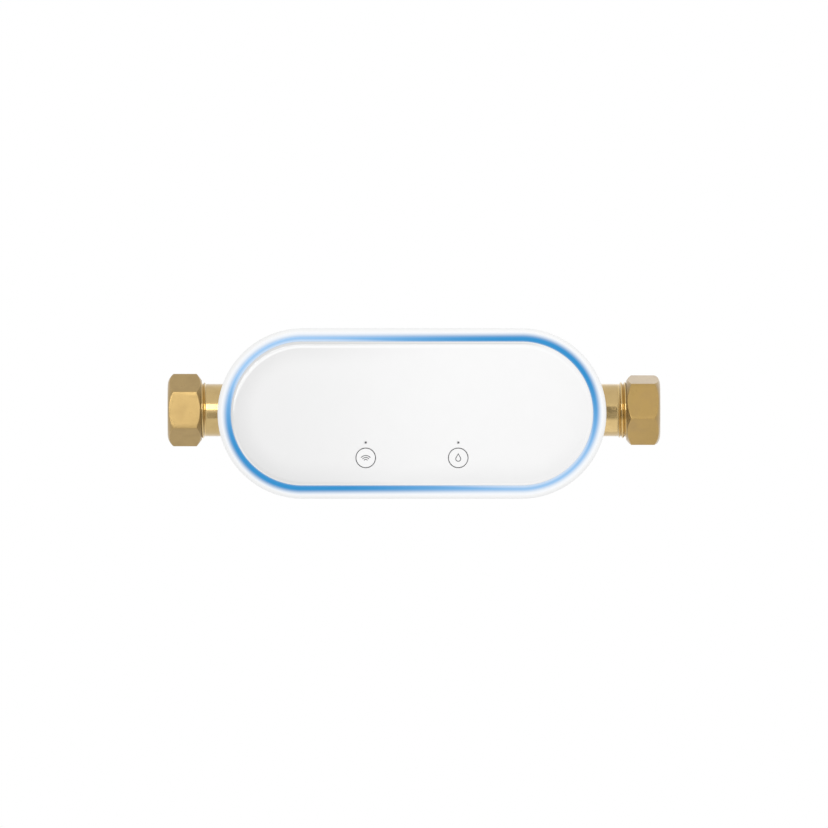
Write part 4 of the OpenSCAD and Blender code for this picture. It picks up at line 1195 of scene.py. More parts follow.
@dataclass
class Casing:
    """The two covers and the screws that hold them together."""

    pill: Pill
    finishes: Finishes
    wall: float = 3.0 * MM
    wall_round: float = 0.5 * MM
    back_round: float = 8.0 * MM
    back_flat_in: float = 1.0 * MM
    rim_round: float = 6.0 * MM
    rim_rise: float = 1.5 * MM
    crest_in: float = 2.6 * MM
    crest_round: float = 0.35 * MM
    seam: float = 0.4 * MM
    seam_round: float = 0.15 * MM
    ledge_front: float = 45.0 * MM
    ledge_thick: float = 2.0 * MM
    ledge_r: float = 33.0 * MM
    ledge_round: float = 0.3 * MM
    ring_gap: float = 0.02 * MM
    lap: tuple[Point, ...] = ((47.8 * MM, 2.3 * MM), (49.0 * MM, 2.3 * MM))
    tongue: tuple[Point, ...] = ((47.9 * MM, 1.5 * MM), (48.9 * MM, 1.5 * MM))
    neck_hole_r: float = 15.75 * MM
    neck_hole_half: float = 8.0 * MM
    boss_r: float = 5.0 * MM
    recess_r: float = 3.3 * MM
    recess_depth: float = 8.5 * MM
    play: float = 0.1 * MM
    screw_head_r: float = 3.0 * MM
    screw_head_h: float = 2.5 * MM
    screw_head_round: float = 0.4 * MM
    screw_head_break: float = 0.1 * MM
    screw_r: float = 1.5 * MM
    screw_tip_share: float = 0.6
    screw_tip_length: float = 0.8 * MM
    key_r: float = 1.2 * MM
    key_depth: float = 1.5 * MM
    back: float = field(init=False)
    front: float = field(init=False)
    ring_r: float = field(init=False)
    screw_tip: float = field(init=False)
    screw_spread: Vector = field(init=False)

    def __post_init__(self) -> None:
        """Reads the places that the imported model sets."""
        self.back = -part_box("rear_cover")[1].y
        self.front = -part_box("front_cover")[0].y
        self.ring_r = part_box("light_ring")[1].z - self.pill.middle.z + self.ring_gap
        low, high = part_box("cover_screws")
        self.screw_tip = -low.y
        self.screw_spread = high - low - Vector((1, 0, 1)) * 2 * self.screw_head_r

    def build(self) -> None:
        """Makes the covers and their screws."""
        settle(dress(self.front_shell(), self.finishes.lit_shell), "valve", "white_shell", "front_cover")
        settle(dress(self.rear_shell(), self.finishes.shell), "valve", "white_shell", "rear_cover")
        settle(self.screws(), "valve", "steel", "cover_screws")

    def cut_necks(self, shell: Piece) -> None:
        """Takes the hole for a neck out of both ends of a cover.

        Args:
            shell: The cover.
        """
        axis = Axis(Vector((self.pill.middle.x, 0, 0)), ALONG_FLOW, TO_USER)
        length = self.pill.spine_half + self.pill.end_r
        near, far = length - self.neck_hole_half, length + self.neck_hole_half
        for side in Side:
            hole = Rod(axis, self.neck_hole_r, side.value * near, side.value * far, count=128)
            carve(shell, hole, Cut.TAKE)

    def screw_axes(self) -> list[Axis]:
        """The four cover screws, each pointing to the front.

        Returns:
            An axis for each screw.
        """
        half = self.screw_spread / 2
        spots = [Vector((x * half.x, 0, z * half.z)) for x in (-1, 1) for z in (-1, 1)]
        return [Axis.facing(self.pill.middle + spot) for spot in spots]

    def front_shell(self) -> Piece:
        """Front cover: wall, round rim, the slope where the ring's light is painted on, and the ledge
        inside it.

        Returns:
            The cover.
        """
        end_r, wall_r = self.pill.end_r, self.pill.end_r - self.wall
        crest_r = end_r - self.crest_in
        lean = math.degrees(math.acos((crest_r - end_r + self.rim_round) / self.rim_round))
        rim_front = self.front - self.rim_round * math.sin(math.radians(lean))
        rim = arc((end_r - self.rim_round, rim_front), self.rim_round, 0, lean, steps=20)
        ledge_back, soft = self.ledge_front - self.ledge_thick, self.ledge_round
        section = rounded([
            (end_r - self.seam, 0, 0), (end_r, self.seam, self.seam_round),
            *sharp(rim[:-1]), (*rim[-1], self.crest_round),
            (self.ring_r, self.front - self.rim_rise, soft), (self.ring_r, self.ledge_front, 0),
            (self.ledge_r, self.ledge_front, soft), (self.ledge_r, ledge_back, soft),
            (wall_r, ledge_back, self.wall_round), (wall_r, 0, 0),
            (self.lap[0][0], 0, 0), *sharp(self.lap), (self.lap[1][0], 0, 0),
        ])
        draft = Draft()
        draft.skin(self.pill.loops(section), closed=True)
        shell = draft.shape("front_shell")
        boss_end = self.ledge_front - self.ledge_thick / 2
        for axis in self.screw_axes():
            carve(shell, Rod(axis, self.boss_r, self.seam, boss_end, count=48), Cut.ADD)
        self.cut_necks(shell)
        return Draft.smooth(shell)

    def rear_shell(self) -> Piece:
        """Rear cover: a tray with a round back edge and four deep screw recesses.

        Returns:
            The cover.
        """
        end_r, wall_r = self.pill.end_r, self.pill.end_r - self.wall
        corner = (end_r - self.back_round, self.back + self.back_round)
        flat_r = corner[0] - self.back_flat_in
        section = [
            (flat_r, self.back + self.wall), *arc(corner, self.back_round - self.wall, -90, 0, steps=12),
            (wall_r, 0), (self.tongue[0][0], 0), *self.tongue, (self.tongue[1][0], 0),
            (end_r - self.seam, 0), (end_r, -self.seam), (end_r, -2 * self.seam),
            *arc(corner, self.back_round, 0, -90, steps=20), (flat_r, self.back),
        ]
        draft = Draft()
        rings = draft.skin(self.pill.loops(section))
        draft.fill(rings[0])
        draft.fill(rings[-1])
        shell = draft.shape("rear_shell")
        seat = self.back + self.recess_depth
        for axis in self.screw_axes():
            carve(shell, Rod(axis, self.boss_r, self.back + self.wall / 2, -self.seam, count=48), Cut.ADD)
            carve(shell, Rod(axis, self.recess_r, self.back - self.wall, seat, count=64), Cut.TAKE)
            carve(shell, Rod(axis, self.screw_r + self.play, self.back, self.wall, count=32), Cut.TAKE)
        self.cut_necks(shell)
        socket = PowerInlet.from_frame()
        carve(shell, Rod(socket.axis, socket.shell_r + self.play, -self.wall, 2 * self.wall), Cut.TAKE)
        return Draft.smooth(shell)

    def one_screw(self) -> Piece:
        """A socket-head screw at the origin, pointing to the front.

        Returns:
            The screw.
        """
        axis = Axis.facing(Vector())
        seat = self.back + self.recess_depth
        top = seat - self.screw_head_h
        head_r, soft, edge = self.screw_head_r, self.screw_head_round, self.screw_head_break
        draft = Draft()
        rings = draft.spin(axis, [
            (self.screw_r * self.screw_tip_share, self.screw_tip),
            (self.screw_r, self.screw_tip - self.screw_tip_length), (self.screw_r, seat),
            (head_r - edge, seat), (head_r, seat - edge),
            *arc((head_r - soft, top + soft), soft, 0, -90, steps=5),
        ], count=48)
        draft.fill(rings[0])
        key = draft.spin(axis, [(self.key_r, top), (self.key_r, top + self.key_depth)], count=6)
        draft.fill(rings[-1], key[0])
        draft.fill(key[1])
        return Draft.smooth(draft.shape("cover_screw_set"))

    def screws(self) -> Piece:
        """Four screws, one at each corner of a grid.

        Returns:
            The screws, as one piece.
        """
        graph, given = Kit.tree("screw_grid", {
            "Spread Along": "Float", "Spread Up": "Float", "Middle": "Vector", "Material": "Material",
        })
        grid = graph.node("GeometryNodeMeshGrid", None, {
            "Size X": given["Spread Along"], "Size Y": given["Spread Up"], "Vertices X": 2, "Vertices Y": 2,
        })["Mesh"]
        upright = graph.node("GeometryNodeTransform", None, {
            "Geometry": grid, "Translation": given["Middle"], "Rotation": (math.pi / 2, 0, 0),
        })["Geometry"]
        placed = graph.node("GeometryNodeInstanceOnPoints", None, {
            "Points": upright, "Instance": given["Geometry"],
        })["Instances"]
        Kit.close(graph, placed, given["Material"])
        return Kit.grow(self.one_screw(), graph, {
            "Spread Along": self.screw_spread.x, "Spread Up": self.screw_spread.z,
            "Middle": self.pill.middle * Vector((1, 0, 1)), "Material": self.finishes.steel.material(),
        })


@dataclass
class FrontPanel:
    """The glossy plate, the light ring round it, the buttons and the indicator lights."""

    pill: Pill
    finishes: Finishes
    thick: float = 2.6 * MM
    edge_round: float = 2.2 * MM
    edge_flat: float = 0.4 * MM
    skirt: float = 1.8 * MM
    skirt_break: float = 0.1 * MM
    hole_r: float = 6.0 * MM
    hole_break: float = 0.12 * MM
    behind_gap: float = 0.1 * MM
    cap_r: float = 5.7 * MM
    cap_sink: float = 0.03 * MM
    cap_edge: float = 0.25 * MM
    cap_flat_share: float = 1.4
    flange_h: float = 1.3 * MM
    stem_r: float = 2.2 * MM
    print_rise: float = 0.02 * MM
    stroke: float = 0.50 * MM
    signal_rs: tuple[float, ...] = (1.2 * MM, 2.35 * MM, 3.5 * MM)
    signal_foot: Point = (0.0, -2.1 * MM)
    signal_half: float = 48.0
    drop_r: float = 1.7 * MM
    drop_middle: Point = (0.0, -0.55 * MM)
    drop_tip_share: float = 2.0
    dot_hole_r: float = 0.8 * MM
    dot_r: float = 0.7 * MM
    dot_edge_share: float = 0.92
    collar_h: float = 2.0 * MM
    lens_r: float = 0.58 * MM
    lens_flat_share: float = 0.5
    lens_sinks: tuple[float, ...] = (0.12 * MM, 0.06 * MM, 0.04 * MM, 0.02 * MM)
    ring_fillet: float = 0.3 * MM
    ring_gap: float = 0.03 * MM
    front: float = field(init=False)
    back: float = field(init=False)
    foot: float = field(init=False)
    edge_r: float = field(init=False)

    def __post_init__(self) -> None:
        """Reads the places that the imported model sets."""
        low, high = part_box("front_panel")
        self.front, self.foot = -low.y, -high.y
        self.back = self.front - self.thick
        self.edge_r = (high.z - low.z) / 2

    def build(self) -> None:
        """Makes the plate, the ring, the buttons and the lights."""
        settle(dress(self.plate(), self.finishes.plate), "valve", "white_panel", "front_panel")
        settle(self.ring(), "valve", "light_guide", "light_ring")
        for symbol in Symbol:
            settle(self.cap(symbol.button), symbol.button, "white_panel", symbol.button)
            settle(dress(self.printing(symbol), self.finishes.print), symbol.button, "indicator")
            settle(self.light_pipe(symbol.light), "valve", "indicator", symbol.light)

    def plate(self) -> Piece:
        """The plate, with a round edge, a skirt and a hole for each button and light.

        Returns:
            The plate.
        """
        inner_r = self.edge_r - self.skirt
        round_at = (self.edge_r - self.edge_round, self.front - self.edge_round)
        section = [
            (inner_r, self.back), (inner_r, self.foot), (self.edge_r - self.skirt_break, self.foot),
            (self.edge_r, self.foot + self.skirt_break),
            *arc(round_at, self.edge_round, 0, 90, steps=16), (round_at[0] - self.edge_flat, self.front),
        ]
        draft = Draft()
        rings = draft.skin(self.pill.loops(section))
        tops, backs = [rings[-1]], [rings[0]]
        edge = self.hole_break
        for symbol in Symbol:
            for node, r, count in ((symbol.button, self.hole_r, 96), (symbol.light, self.dot_hole_r, 32)):
                lip = arc((r + edge, self.front - edge), edge, 90, 180, steps=5)
                wall = [(r + 2 * edge, self.front), *lip, (r, self.back)]
                hole = draft.spin(Axis.through(node), wall, count)
                tops.append(hole[0])
                backs.append(hole[-1])
        draft.fill(*tops)
        draft.fill(*backs)
        return Draft.smooth(draft.shape("panel_plate"))

    def ring(self) -> Piece:
        """The light guide: a rounded bar swept along the pill.

        Returns:
            The light guide, in its finish.
        """
        low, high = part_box("light_ring")
        outer_r = (high.z - low.z) / 2
        inner_r = self.edge_r + self.ring_gap
        graph, given = Kit.tree("pill_sweep", {
            "Path Radius": "Float", "Spine Half": "Float", "Width": "Float", "Depth": "Float",
            "Fillet": "Float", "Middle": "Vector", "Material": "Material",
        })
        circle = graph.node("GeometryNodeCurvePrimitiveCircle", None, {
            "Resolution": 4 * self.pill.turn_steps + 2, "Radius": given["Path Radius"],
        })["Curve"]
        along = graph.part(graph.node("GeometryNodeInputPosition")["Position"], "X")
        shift = graph.math("SIGN", along) * given["Spine Half"]
        offset = graph.node("ShaderNodeCombineXYZ", None, {"X": shift})["Vector"]
        path = graph.node("GeometryNodeSetPosition", None, {"Geometry": circle, "Offset": offset})
        level = graph.node("GeometryNodeSetCurveNormal", {"mode": "Z_UP"}, {"Curve": path["Geometry"]})
        bar = graph.node("GeometryNodeCurvePrimitiveQuadrilateral", None, {
            "Width": given["Width"], "Height": given["Depth"],
        })["Curve"]
        soft = graph.node("GeometryNodeFilletCurve", {"mode": "POLY"}, {
            "Curve": bar, "Radius": given["Fillet"], "Count": 5,
        })["Curve"]
        swept = graph.node("GeometryNodeCurveToMesh", None, {
            "Curve": level["Curve"], "Profile Curve": soft,
        })["Mesh"]
        placed = graph.node("GeometryNodeTransform", None, {
            "Geometry": swept, "Translation": given["Middle"], "Rotation": (math.pi / 2, 0, 0),
        })["Geometry"]
        Kit.close(graph, placed, given["Material"])
        made = add_object("light_guide_ring", bpy.data.meshes.new("light_guide_ring"))
        Kit.grow(made, graph, {
            "Path Radius": (inner_r + outer_r) / 2, "Spine Half": self.pill.spine_half,
            "Width": outer_r - inner_r, "Depth": high.y - low.y, "Fillet": self.ring_fillet,
            "Middle": (low + high) / 2, "Material": self.finishes.light_guide.material(),
        })
        return Draft.smooth(made)

    def cap(self, node: str) -> Piece:
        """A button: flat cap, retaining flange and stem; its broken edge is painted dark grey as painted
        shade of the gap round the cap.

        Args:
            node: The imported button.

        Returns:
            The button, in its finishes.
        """
        low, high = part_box(node)
        face, edge = self.front - self.cap_sink, self.cap_edge
        flange_r = (high.x - low.x) / 2
        flange_front = self.back - self.behind_gap
        flange_back = flange_front - self.flange_h
        axis = Axis.through(node)
        draft = Draft()
        draft.plug(axis, [
            (self.stem_r, -high.y), (self.stem_r, flange_back), (flange_r, flange_back),
            (flange_r, flange_front), (self.cap_r, flange_front),
            *arc((self.cap_r - edge, face - edge), edge, 0, 90, steps=6),
            (self.cap_r - self.cap_flat_share * edge, face),
        ], count=96)
        cap = dress(Draft.smooth(draft.shape(node + "_cap")), self.finishes.panel)
        # Painted shade: the cap's broken edge takes the dark print finish, for the shade in the gap round
        # the button.
        return paint(cap, self.finishes.print, lambda middle: (
            -middle.y > face - edge and axis.off(middle) > self.cap_r - edge
        ))

    def printing(self, symbol: Symbol) -> Piece:
        """The print on a button's cap.

        Args:
            symbol: What is printed.

        Returns:
            The print.
        """
        axis = Axis.through(symbol.button)
        face = axis.origin + (self.front - self.cap_sink) * axis.along
        draft = Draft()
        for outline in self.outlines(symbol):
            loops = [[face + a * ALONG_FLOW + b * UPWARDS for a, b in loop] for loop in outline]
            draft.prism(loops, axis.along * self.print_rise)
        return Draft.smooth(draft.shape(symbol.button + "_print"))

    def outlines(self, symbol: Symbol) -> list[list[list[Point]]]:
        """The strokes of a symbol, about the cap's middle.

        Args:
            symbol: What is printed.

        Returns:
            Edge and holes of each stroke.
        """
        if symbol is Symbol.DROP:
            return [[self.drop(self.drop_r), self.drop(self.drop_r - self.stroke)]]
        half, foot = self.stroke / 2, self.signal_foot
        first, last = 90 - self.signal_half, 90 + self.signal_half
        shapes = []
        for r in self.signal_rs:
            start, end = arc(foot, r, first, last, steps=1)
            shapes.append([[
                *arc(foot, r + half, first, last, steps=16),
                *arc(end, half, last, last + 180, steps=6)[1:-1],
                *arc(foot, r - half, last, first, steps=16),
                *arc(start, half, first - 180, first, steps=6)[1:-1],
            ]])
        return shapes

    def drop(self, r: float) -> list[Point]:
        """Outline of a water drop: a circle drawn out to a tip.

        Args:
            r: Radius of the circle.

        Returns:
            The outline's points.
        """
        lean = math.degrees(math.acos(1 / self.drop_tip_share))
        tip = (self.drop_middle[0], self.drop_middle[1] + self.drop_tip_share * r)
        return [*arc(self.drop_middle, r, 90 + lean, 450 - lean, steps=32), tip]

    def light_pipe(self, node: str) -> Piece:
        """An indicator: thin rod with a collar behind the plate and a dark domed lens in its end.

        Args:
            node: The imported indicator.

        Returns:
            The indicator, in its finishes.
        """
        low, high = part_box(node)
        collar_r = (high.x - low.x) / 2
        collar_front = self.back - self.behind_gap
        collar_back = collar_front - self.collar_h
        rim, edge, lens, top = (self.front - sink for sink in self.lens_sinks)
        axis = Axis.through(node)
        draft = Draft()
        draft.plug(axis, [
            (self.dot_r, -high.y), (self.dot_r, collar_back), (collar_r, collar_back),
            (collar_r, collar_front), (self.dot_r, collar_front), (self.dot_r, rim),
            (self.dot_edge_share * self.dot_r, edge), (self.lens_r, lens),
            (self.lens_flat_share * self.lens_r, top),
        ], count=32)
        pipe = dress(Draft.smooth(draft.shape(node + "_lens")), self.finishes.panel)
        return paint(pipe, self.finishes.indicator, lambda middle: axis.off(middle) < self.lens_r)


@dataclass
class PipeConnection:
    """One end of the pipe line: threaded connection, compression nut and olive."""

    side: Side
    pill: Pill
    finishes: Finishes
    nut_brass: Finish
    spigot_r: float
    nut_tilt: float
    bore_r: float = 10.0 * MM
    way_r: float = 12.5 * MM
    socket_r: float = 14.1 * MM
    socket_depth: float = 18.0 * MM
    neck_r: float = 15.45 * MM
    flange_flats: float = 38.0 * MM
    flange_length: float = 6.0 * MM
    groove: float = 2.0 * MM
    groove_in: float = 8.0 * MM
    fine_round: float = 0.2 * MM
    edge_round: float = 0.3 * MM
    wide_round: float = 0.4 * MM
    hexagon_corner: float = 0.5 * MM
    thread_r: float = 16.625 * MM
    thread_depth: float = 1.2 * MM
    thread_pitch: float = 2.309 * MM
    thread_length: float = 13.0 * MM
    thread_lead: float = 0.4 * MM
    mouth_cone: float = 5.0 * MM
    mouth_edge: float = 0.6 * MM
    mouth_flat: float = 0.1 * MM
    play: float = 0.1 * MM
    nut_flats: float = 37.0 * MM
    nut_lip: float = 5.0 * MM
    nut_thread_depth: float = 0.55 * MM
    nut_mouth: float = 0.4 * MM
    nut_mouth_round: float = 0.1 * MM
    nut_edge: float = 0.8 * MM
    nut_edge_round: float = 0.12 * MM
    nut_inner_angle: float = 38.0
    nut_inner_round: float = 0.35 * MM
    nut_face_edge: float = 0.2 * MM
    nut_face_round: float = 0.08 * MM
    nut_crown_share: float = 1.24
    olive_rs: tuple[float, float, float] = (14.15 * MM, 14.5 * MM, 15.825 * MM)
    olive_edge: float = 0.1 * MM
    olive_crest: float = 0.8 * MM
    axis: Axis = field(init=False)

    def __post_init__(self) -> None:
        """Points the axis outwards, with its angles counted from the user's side."""
        self.axis = Axis(Vector((self.pill.middle.x, 0, 0)), self.side.value * ALONG_FLOW, TO_USER)

    def build(self) -> None:
        """Makes the connection, its nut and its olive."""
        word = self.side.word
        settle(dress(self.connection(), self.finishes.bright_brass), "valve", "brass", word + "_connector")
        settle(dress(self.nut(), self.nut_brass), word + "_nut", "brass", word + "_nut")
        settle(dress(self.olive(), self.finishes.brass), word + "_olive", "brass", word + "_olive")

    def span(self, node: str) -> tuple[float, float]:
        """Near and far end of a node, from the middle of the housing outwards."""
        near, far = sorted(abs(corner.x - self.pill.middle.x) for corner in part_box(node))
        return near, far

    def body_end(self) -> float:
        """Where the valve body ends on this side, from the middle of the housing.

        Returns:
            The distance.
        """
        low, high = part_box("valve_body")
        end = high.x if self.side is Side.OUTLET else low.x
        return abs(end - self.pill.middle.x)

    def hexagon(self, flats: float, angle: float) -> float:
        """Reach of a hexagon with round corners.

        Args:
            flats: Size across its flats.
            angle: Angle from the middle of one of its flats.

        Returns:
            Distance of its edge from the axis.
        """
        half, corner = flats / 2, self.hexagon_corner
        off = abs((angle + SIXTH_TURN / 2) % SIXTH_TURN - SIXTH_TURN / 2)
        if math.tan(off) * half <= (half - corner) * math.tan(SIXTH_TURN / 2):
            return half / math.cos(off)
        middle = (half - corner) / math.cos(SIXTH_TURN / 2)
        aside = SIXTH_TURN / 2 - off
        return middle * math.cos(aside) + math.sqrt(corner ** 2 - (middle * math.sin(aside)) ** 2)

    def nut_angles(self, flat_steps: int = 10, corner_steps: int = 6) -> list[float]:
        """Angles once round that follow the nut's flats and its round corners.

        Args:
            flat_steps: Number of stretches in a flat.
            corner_steps: Number of stretches in a corner.

        Returns:
            The angles, with the last on top of the first.
        """
        flat = math.atan((1 - 2 * self.hexagon_corner / self.nut_flats) * math.tan(SIXTH_TURN / 2))
        across = [flat * (2 * i / flat_steps - 1) for i in range(flat_steps)]
        turning = [flat + (SIXTH_TURN - 2 * flat) * i / corner_steps for i in range(corner_steps)]
        return [SIXTH_TURN * k + angle for k in range(6) for angle in across + turning] + [FULL_TURN - flat]

    def connection(self) -> Piece:
        """Spigot, hexagon, bare neck, screw thread and the socket for the pipe.

        Returns:
            The connection.
        """
        inner, mouth = self.span(self.side.word + "_connector")
        flange = self.body_end()
        flange_end = flange + self.flange_length
        thread_at, stop = mouth - self.thread_length, mouth - self.socket_depth
        thread = Thread(thread_at, mouth - self.mouth_edge, self.thread_r - self.thread_depth,
                        self.thread_depth, self.thread_pitch, full_end=True)
        groove_at, groove_r = flange - self.groove_in, self.spigot_r - self.groove
        groove_end = groove_at + self.groove
        mouth_r = self.thread_r - self.mouth_edge
        fine, edge, wide = self.fine_round, self.edge_round, self.wide_round

        def section_at(angle: float) -> list[Point]:
            """Section of the connection.

            Args:
                angle: Angle round the axis.

            Returns:
                Points of radius and place.
            """
            hexagon = self.hexagon(self.flange_flats, angle)
            return rounded([
                (self.bore_r, inner, edge), (self.spigot_r, inner, wide),
                (self.spigot_r, groove_at, 0), (groove_r, groove_at, 0),
                (groove_r, groove_end, 0), (self.spigot_r, groove_end, 0), (self.spigot_r, flange, 0),
                (hexagon, flange, edge), (hexagon, flange_end, edge),
                (self.neck_r, flange_end, edge), (self.neck_r, thread_at - self.thread_lead, fine),
                *sharp(thread.rows(angle)), (mouth_r + self.mouth_flat, mouth, 0), (mouth_r, mouth, 0),
                (self.socket_r, mouth - self.mouth_cone, wide), (self.socket_r, stop, fine),
                (self.way_r, stop, edge), (self.way_r, flange, 0), (self.bore_r, flange, edge),
            ], steps=3)

        draft = Draft()
        draft.loft(self.axis, even_angles(144), section_at)
        return Draft.smooth(draft.shape(self.side.word + "_connection"))

    def nut(self) -> Piece:
        """Compression nut: hexagon with a domed outer end, a threaded bore and an end wall.

        Returns:
            The nut.
        """
        near, far = self.span(self.side.word + "_nut")
        wall_at = far - self.nut_lip
        bore_r, hole_r = self.thread_r + self.play, self.socket_r + self.play
        edge_r, face_r = bore_r + self.nut_edge, hole_r + self.nut_face_edge
        slope = math.tan(math.radians(self.nut_inner_angle))
        crown_r = self.nut_crown_share * (self.nut_flats / 2 / math.cos(SIXTH_TURN / 2) - face_r)
        thread = Thread(near + self.nut_edge, wall_at - self.nut_edge, bore_r,
                        self.nut_thread_depth, self.thread_pitch)

        def section_at(angle: float) -> list[Point]:
            """Section of the nut.

            Args:
                angle: Angle from the middle of its first flat.

            Returns:
                Points of radius and place.
            """
            reach = self.hexagon(self.nut_flats, angle)
            crown_from = math.degrees(math.acos((reach - face_r) / crown_r))
            crown = arc((face_r, far - crown_r), crown_r, crown_from, 90, steps=12)
            return rounded([
                (bore_r, near + self.nut_mouth, 0), (bore_r + self.nut_mouth, near, self.nut_mouth_round),
                (edge_r, near, self.nut_edge_round),
                (reach, near + (reach - edge_r) * slope, self.nut_inner_round),
                (*crown[0], self.edge_round), *sharp(crown[1:]),
                (hole_r, far, self.nut_face_round), (hole_r, wall_at, self.fine_round),
                (bore_r, wall_at, self.fine_round), *sharp(reversed(thread.rows(angle % FULL_TURN))),
            ], steps=4)

        first_flat = self.axis.point(1, 0, -math.radians(self.nut_tilt)) - self.axis.origin
        draft = Draft()
        draft.loft(Axis(self.axis.origin, self.axis.along, first_flat), self.nut_angles(), section_at)
        return Draft.smooth(draft.shape(self.side.word + "_compression_nut"))

    def olive(self) -> Piece:
        """Compression ring: a band with two slopes.

        Returns:
            The ring.
        """
        near, far = self.span(self.side.word + "_olive")
        bore_r, end_r, mid_r = self.olive_rs
        edge = self.olive_edge
        section = rounded([
            (bore_r, near, edge), (end_r, near, edge), (mid_r, (near + far) / 2, self.olive_crest),
            (end_r, far, edge), (bore_r, far, edge),
        ])
        draft = Draft()
        draft.loft(self.axis, even_angles(96), lambda _: section)
        return Draft.smooth(draft.shape(self.side.word + "_compression_olive"))


@dataclass
class PowerInlet:
    """Round low-voltage socket in the underside."""

    axis: Axis
    length: float
    flange_r: float
    shell_r: float = 8.0 * MM
    shell_round: float = 0.4 * MM
    bore_r: float = 5.0 * MM
    bore_depth: float = 9.0 * MM
    bore_break: float = 0.3 * MM
    mouth_round: float = 0.5 * MM
    flange_at: Point = (3.1 * MM, 5.0 * MM)
    contact_r: float = 0.6 * MM
    contact_depth: float = 3.0 * MM
    contact_lead: float = 0.15 * MM
    contacts: int = 3

    @classmethod
    def from_frame(cls) -> "PowerInlet":
        """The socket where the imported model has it.

        Returns:
            The socket.
        """
        low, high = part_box("power_socket")
        middle = (low + high) / 2
        axis = Axis(Vector((middle.x, middle.y, low.z)), UPWARDS, ALONG_FLOW)
        return cls(axis, high.z - low.z, (high.x - low.x) / 2)

    def build(self, finishes: Finishes) -> None:
        """Makes the socket."""
        settle(dress(self.socket(), finishes.socket), "valve", "socket_polymer", "power_socket")

    def socket(self) -> Piece:
        """The socket's shell, with its bore and contact holes.

        Returns:
            The shell.
        """
        soft, mouth, edge = self.shell_round, self.mouth_round, self.bore_break
        draft = Draft()
        rings = draft.spin(self.axis, [
            (self.bore_r - edge, self.bore_depth), (self.bore_r, self.bore_depth - edge),
            *arc((self.bore_r + mouth, mouth), mouth, 180, 270, steps=6),
            *arc((self.shell_r - soft, soft), soft, 270, 360, steps=6),
            (self.shell_r, self.flange_at[0]), (self.flange_r, self.flange_at[0]),
            (self.flange_r, self.flange_at[1]), (self.shell_r, self.flange_at[1]),
            (self.shell_r, self.length - soft), (self.shell_r - soft, self.length),
        ], count=72)
        holes = []
        for i in range(self.contacts):
            at = self.axis.point(self.bore_r / 2, self.bore_depth, FULL_TURN * i / self.contacts)
            hole = draft.spin(Axis(at, self.axis.along, self.axis.across), [
                (self.contact_r + self.contact_lead, 0.0), (self.contact_r, self.contact_lead),
                (self.contact_r, self.contact_depth),
            ], count=24)
            draft.fill(hole[-1])
            holes.append(hole[0])
        draft.fill(rings[0], *holes)
        draft.fill(rings[-1])
        return Draft.smooth(draft.shape("power_socket_shell"))


class InnerWorks:
    """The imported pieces, which get a better finish; those that show are replaced afterwards."""

    def __init__(self, finishes: Finishes) -> None:
        """Keeps the finishes."""
        self.finishes = finishes

    def build(self) -> None:
        """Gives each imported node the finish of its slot."""
        for part in frame["record"]["subparts"]:
            node = frame["nodes"][part["node"]]
            finish = self.finishes.slots[part["material_slot"]]
            for slot in node.material_slots:
                slot.material = finish.material()
            log.info("%s is dressed in %s", node.name, finish.name)


@dataclass(frozen=True)
class Card:
    """A dark or bright sheet that only shows as a reflection.

    The first corner is its lower left one, on the user's side if it lies flat, and the second is
    opposite. The background has a level of 1.
    """

    name: str
    low: Corner
    high: Corner
    level: float

    def corners(self) -> list[Corner]:
        """All four corners, in order."""
        (x, y, z), (far_x, far_y, far_z) = self.low, self.high
        return [self.low, (far_x, y, z), self.high, (x, far_y, far_z)]


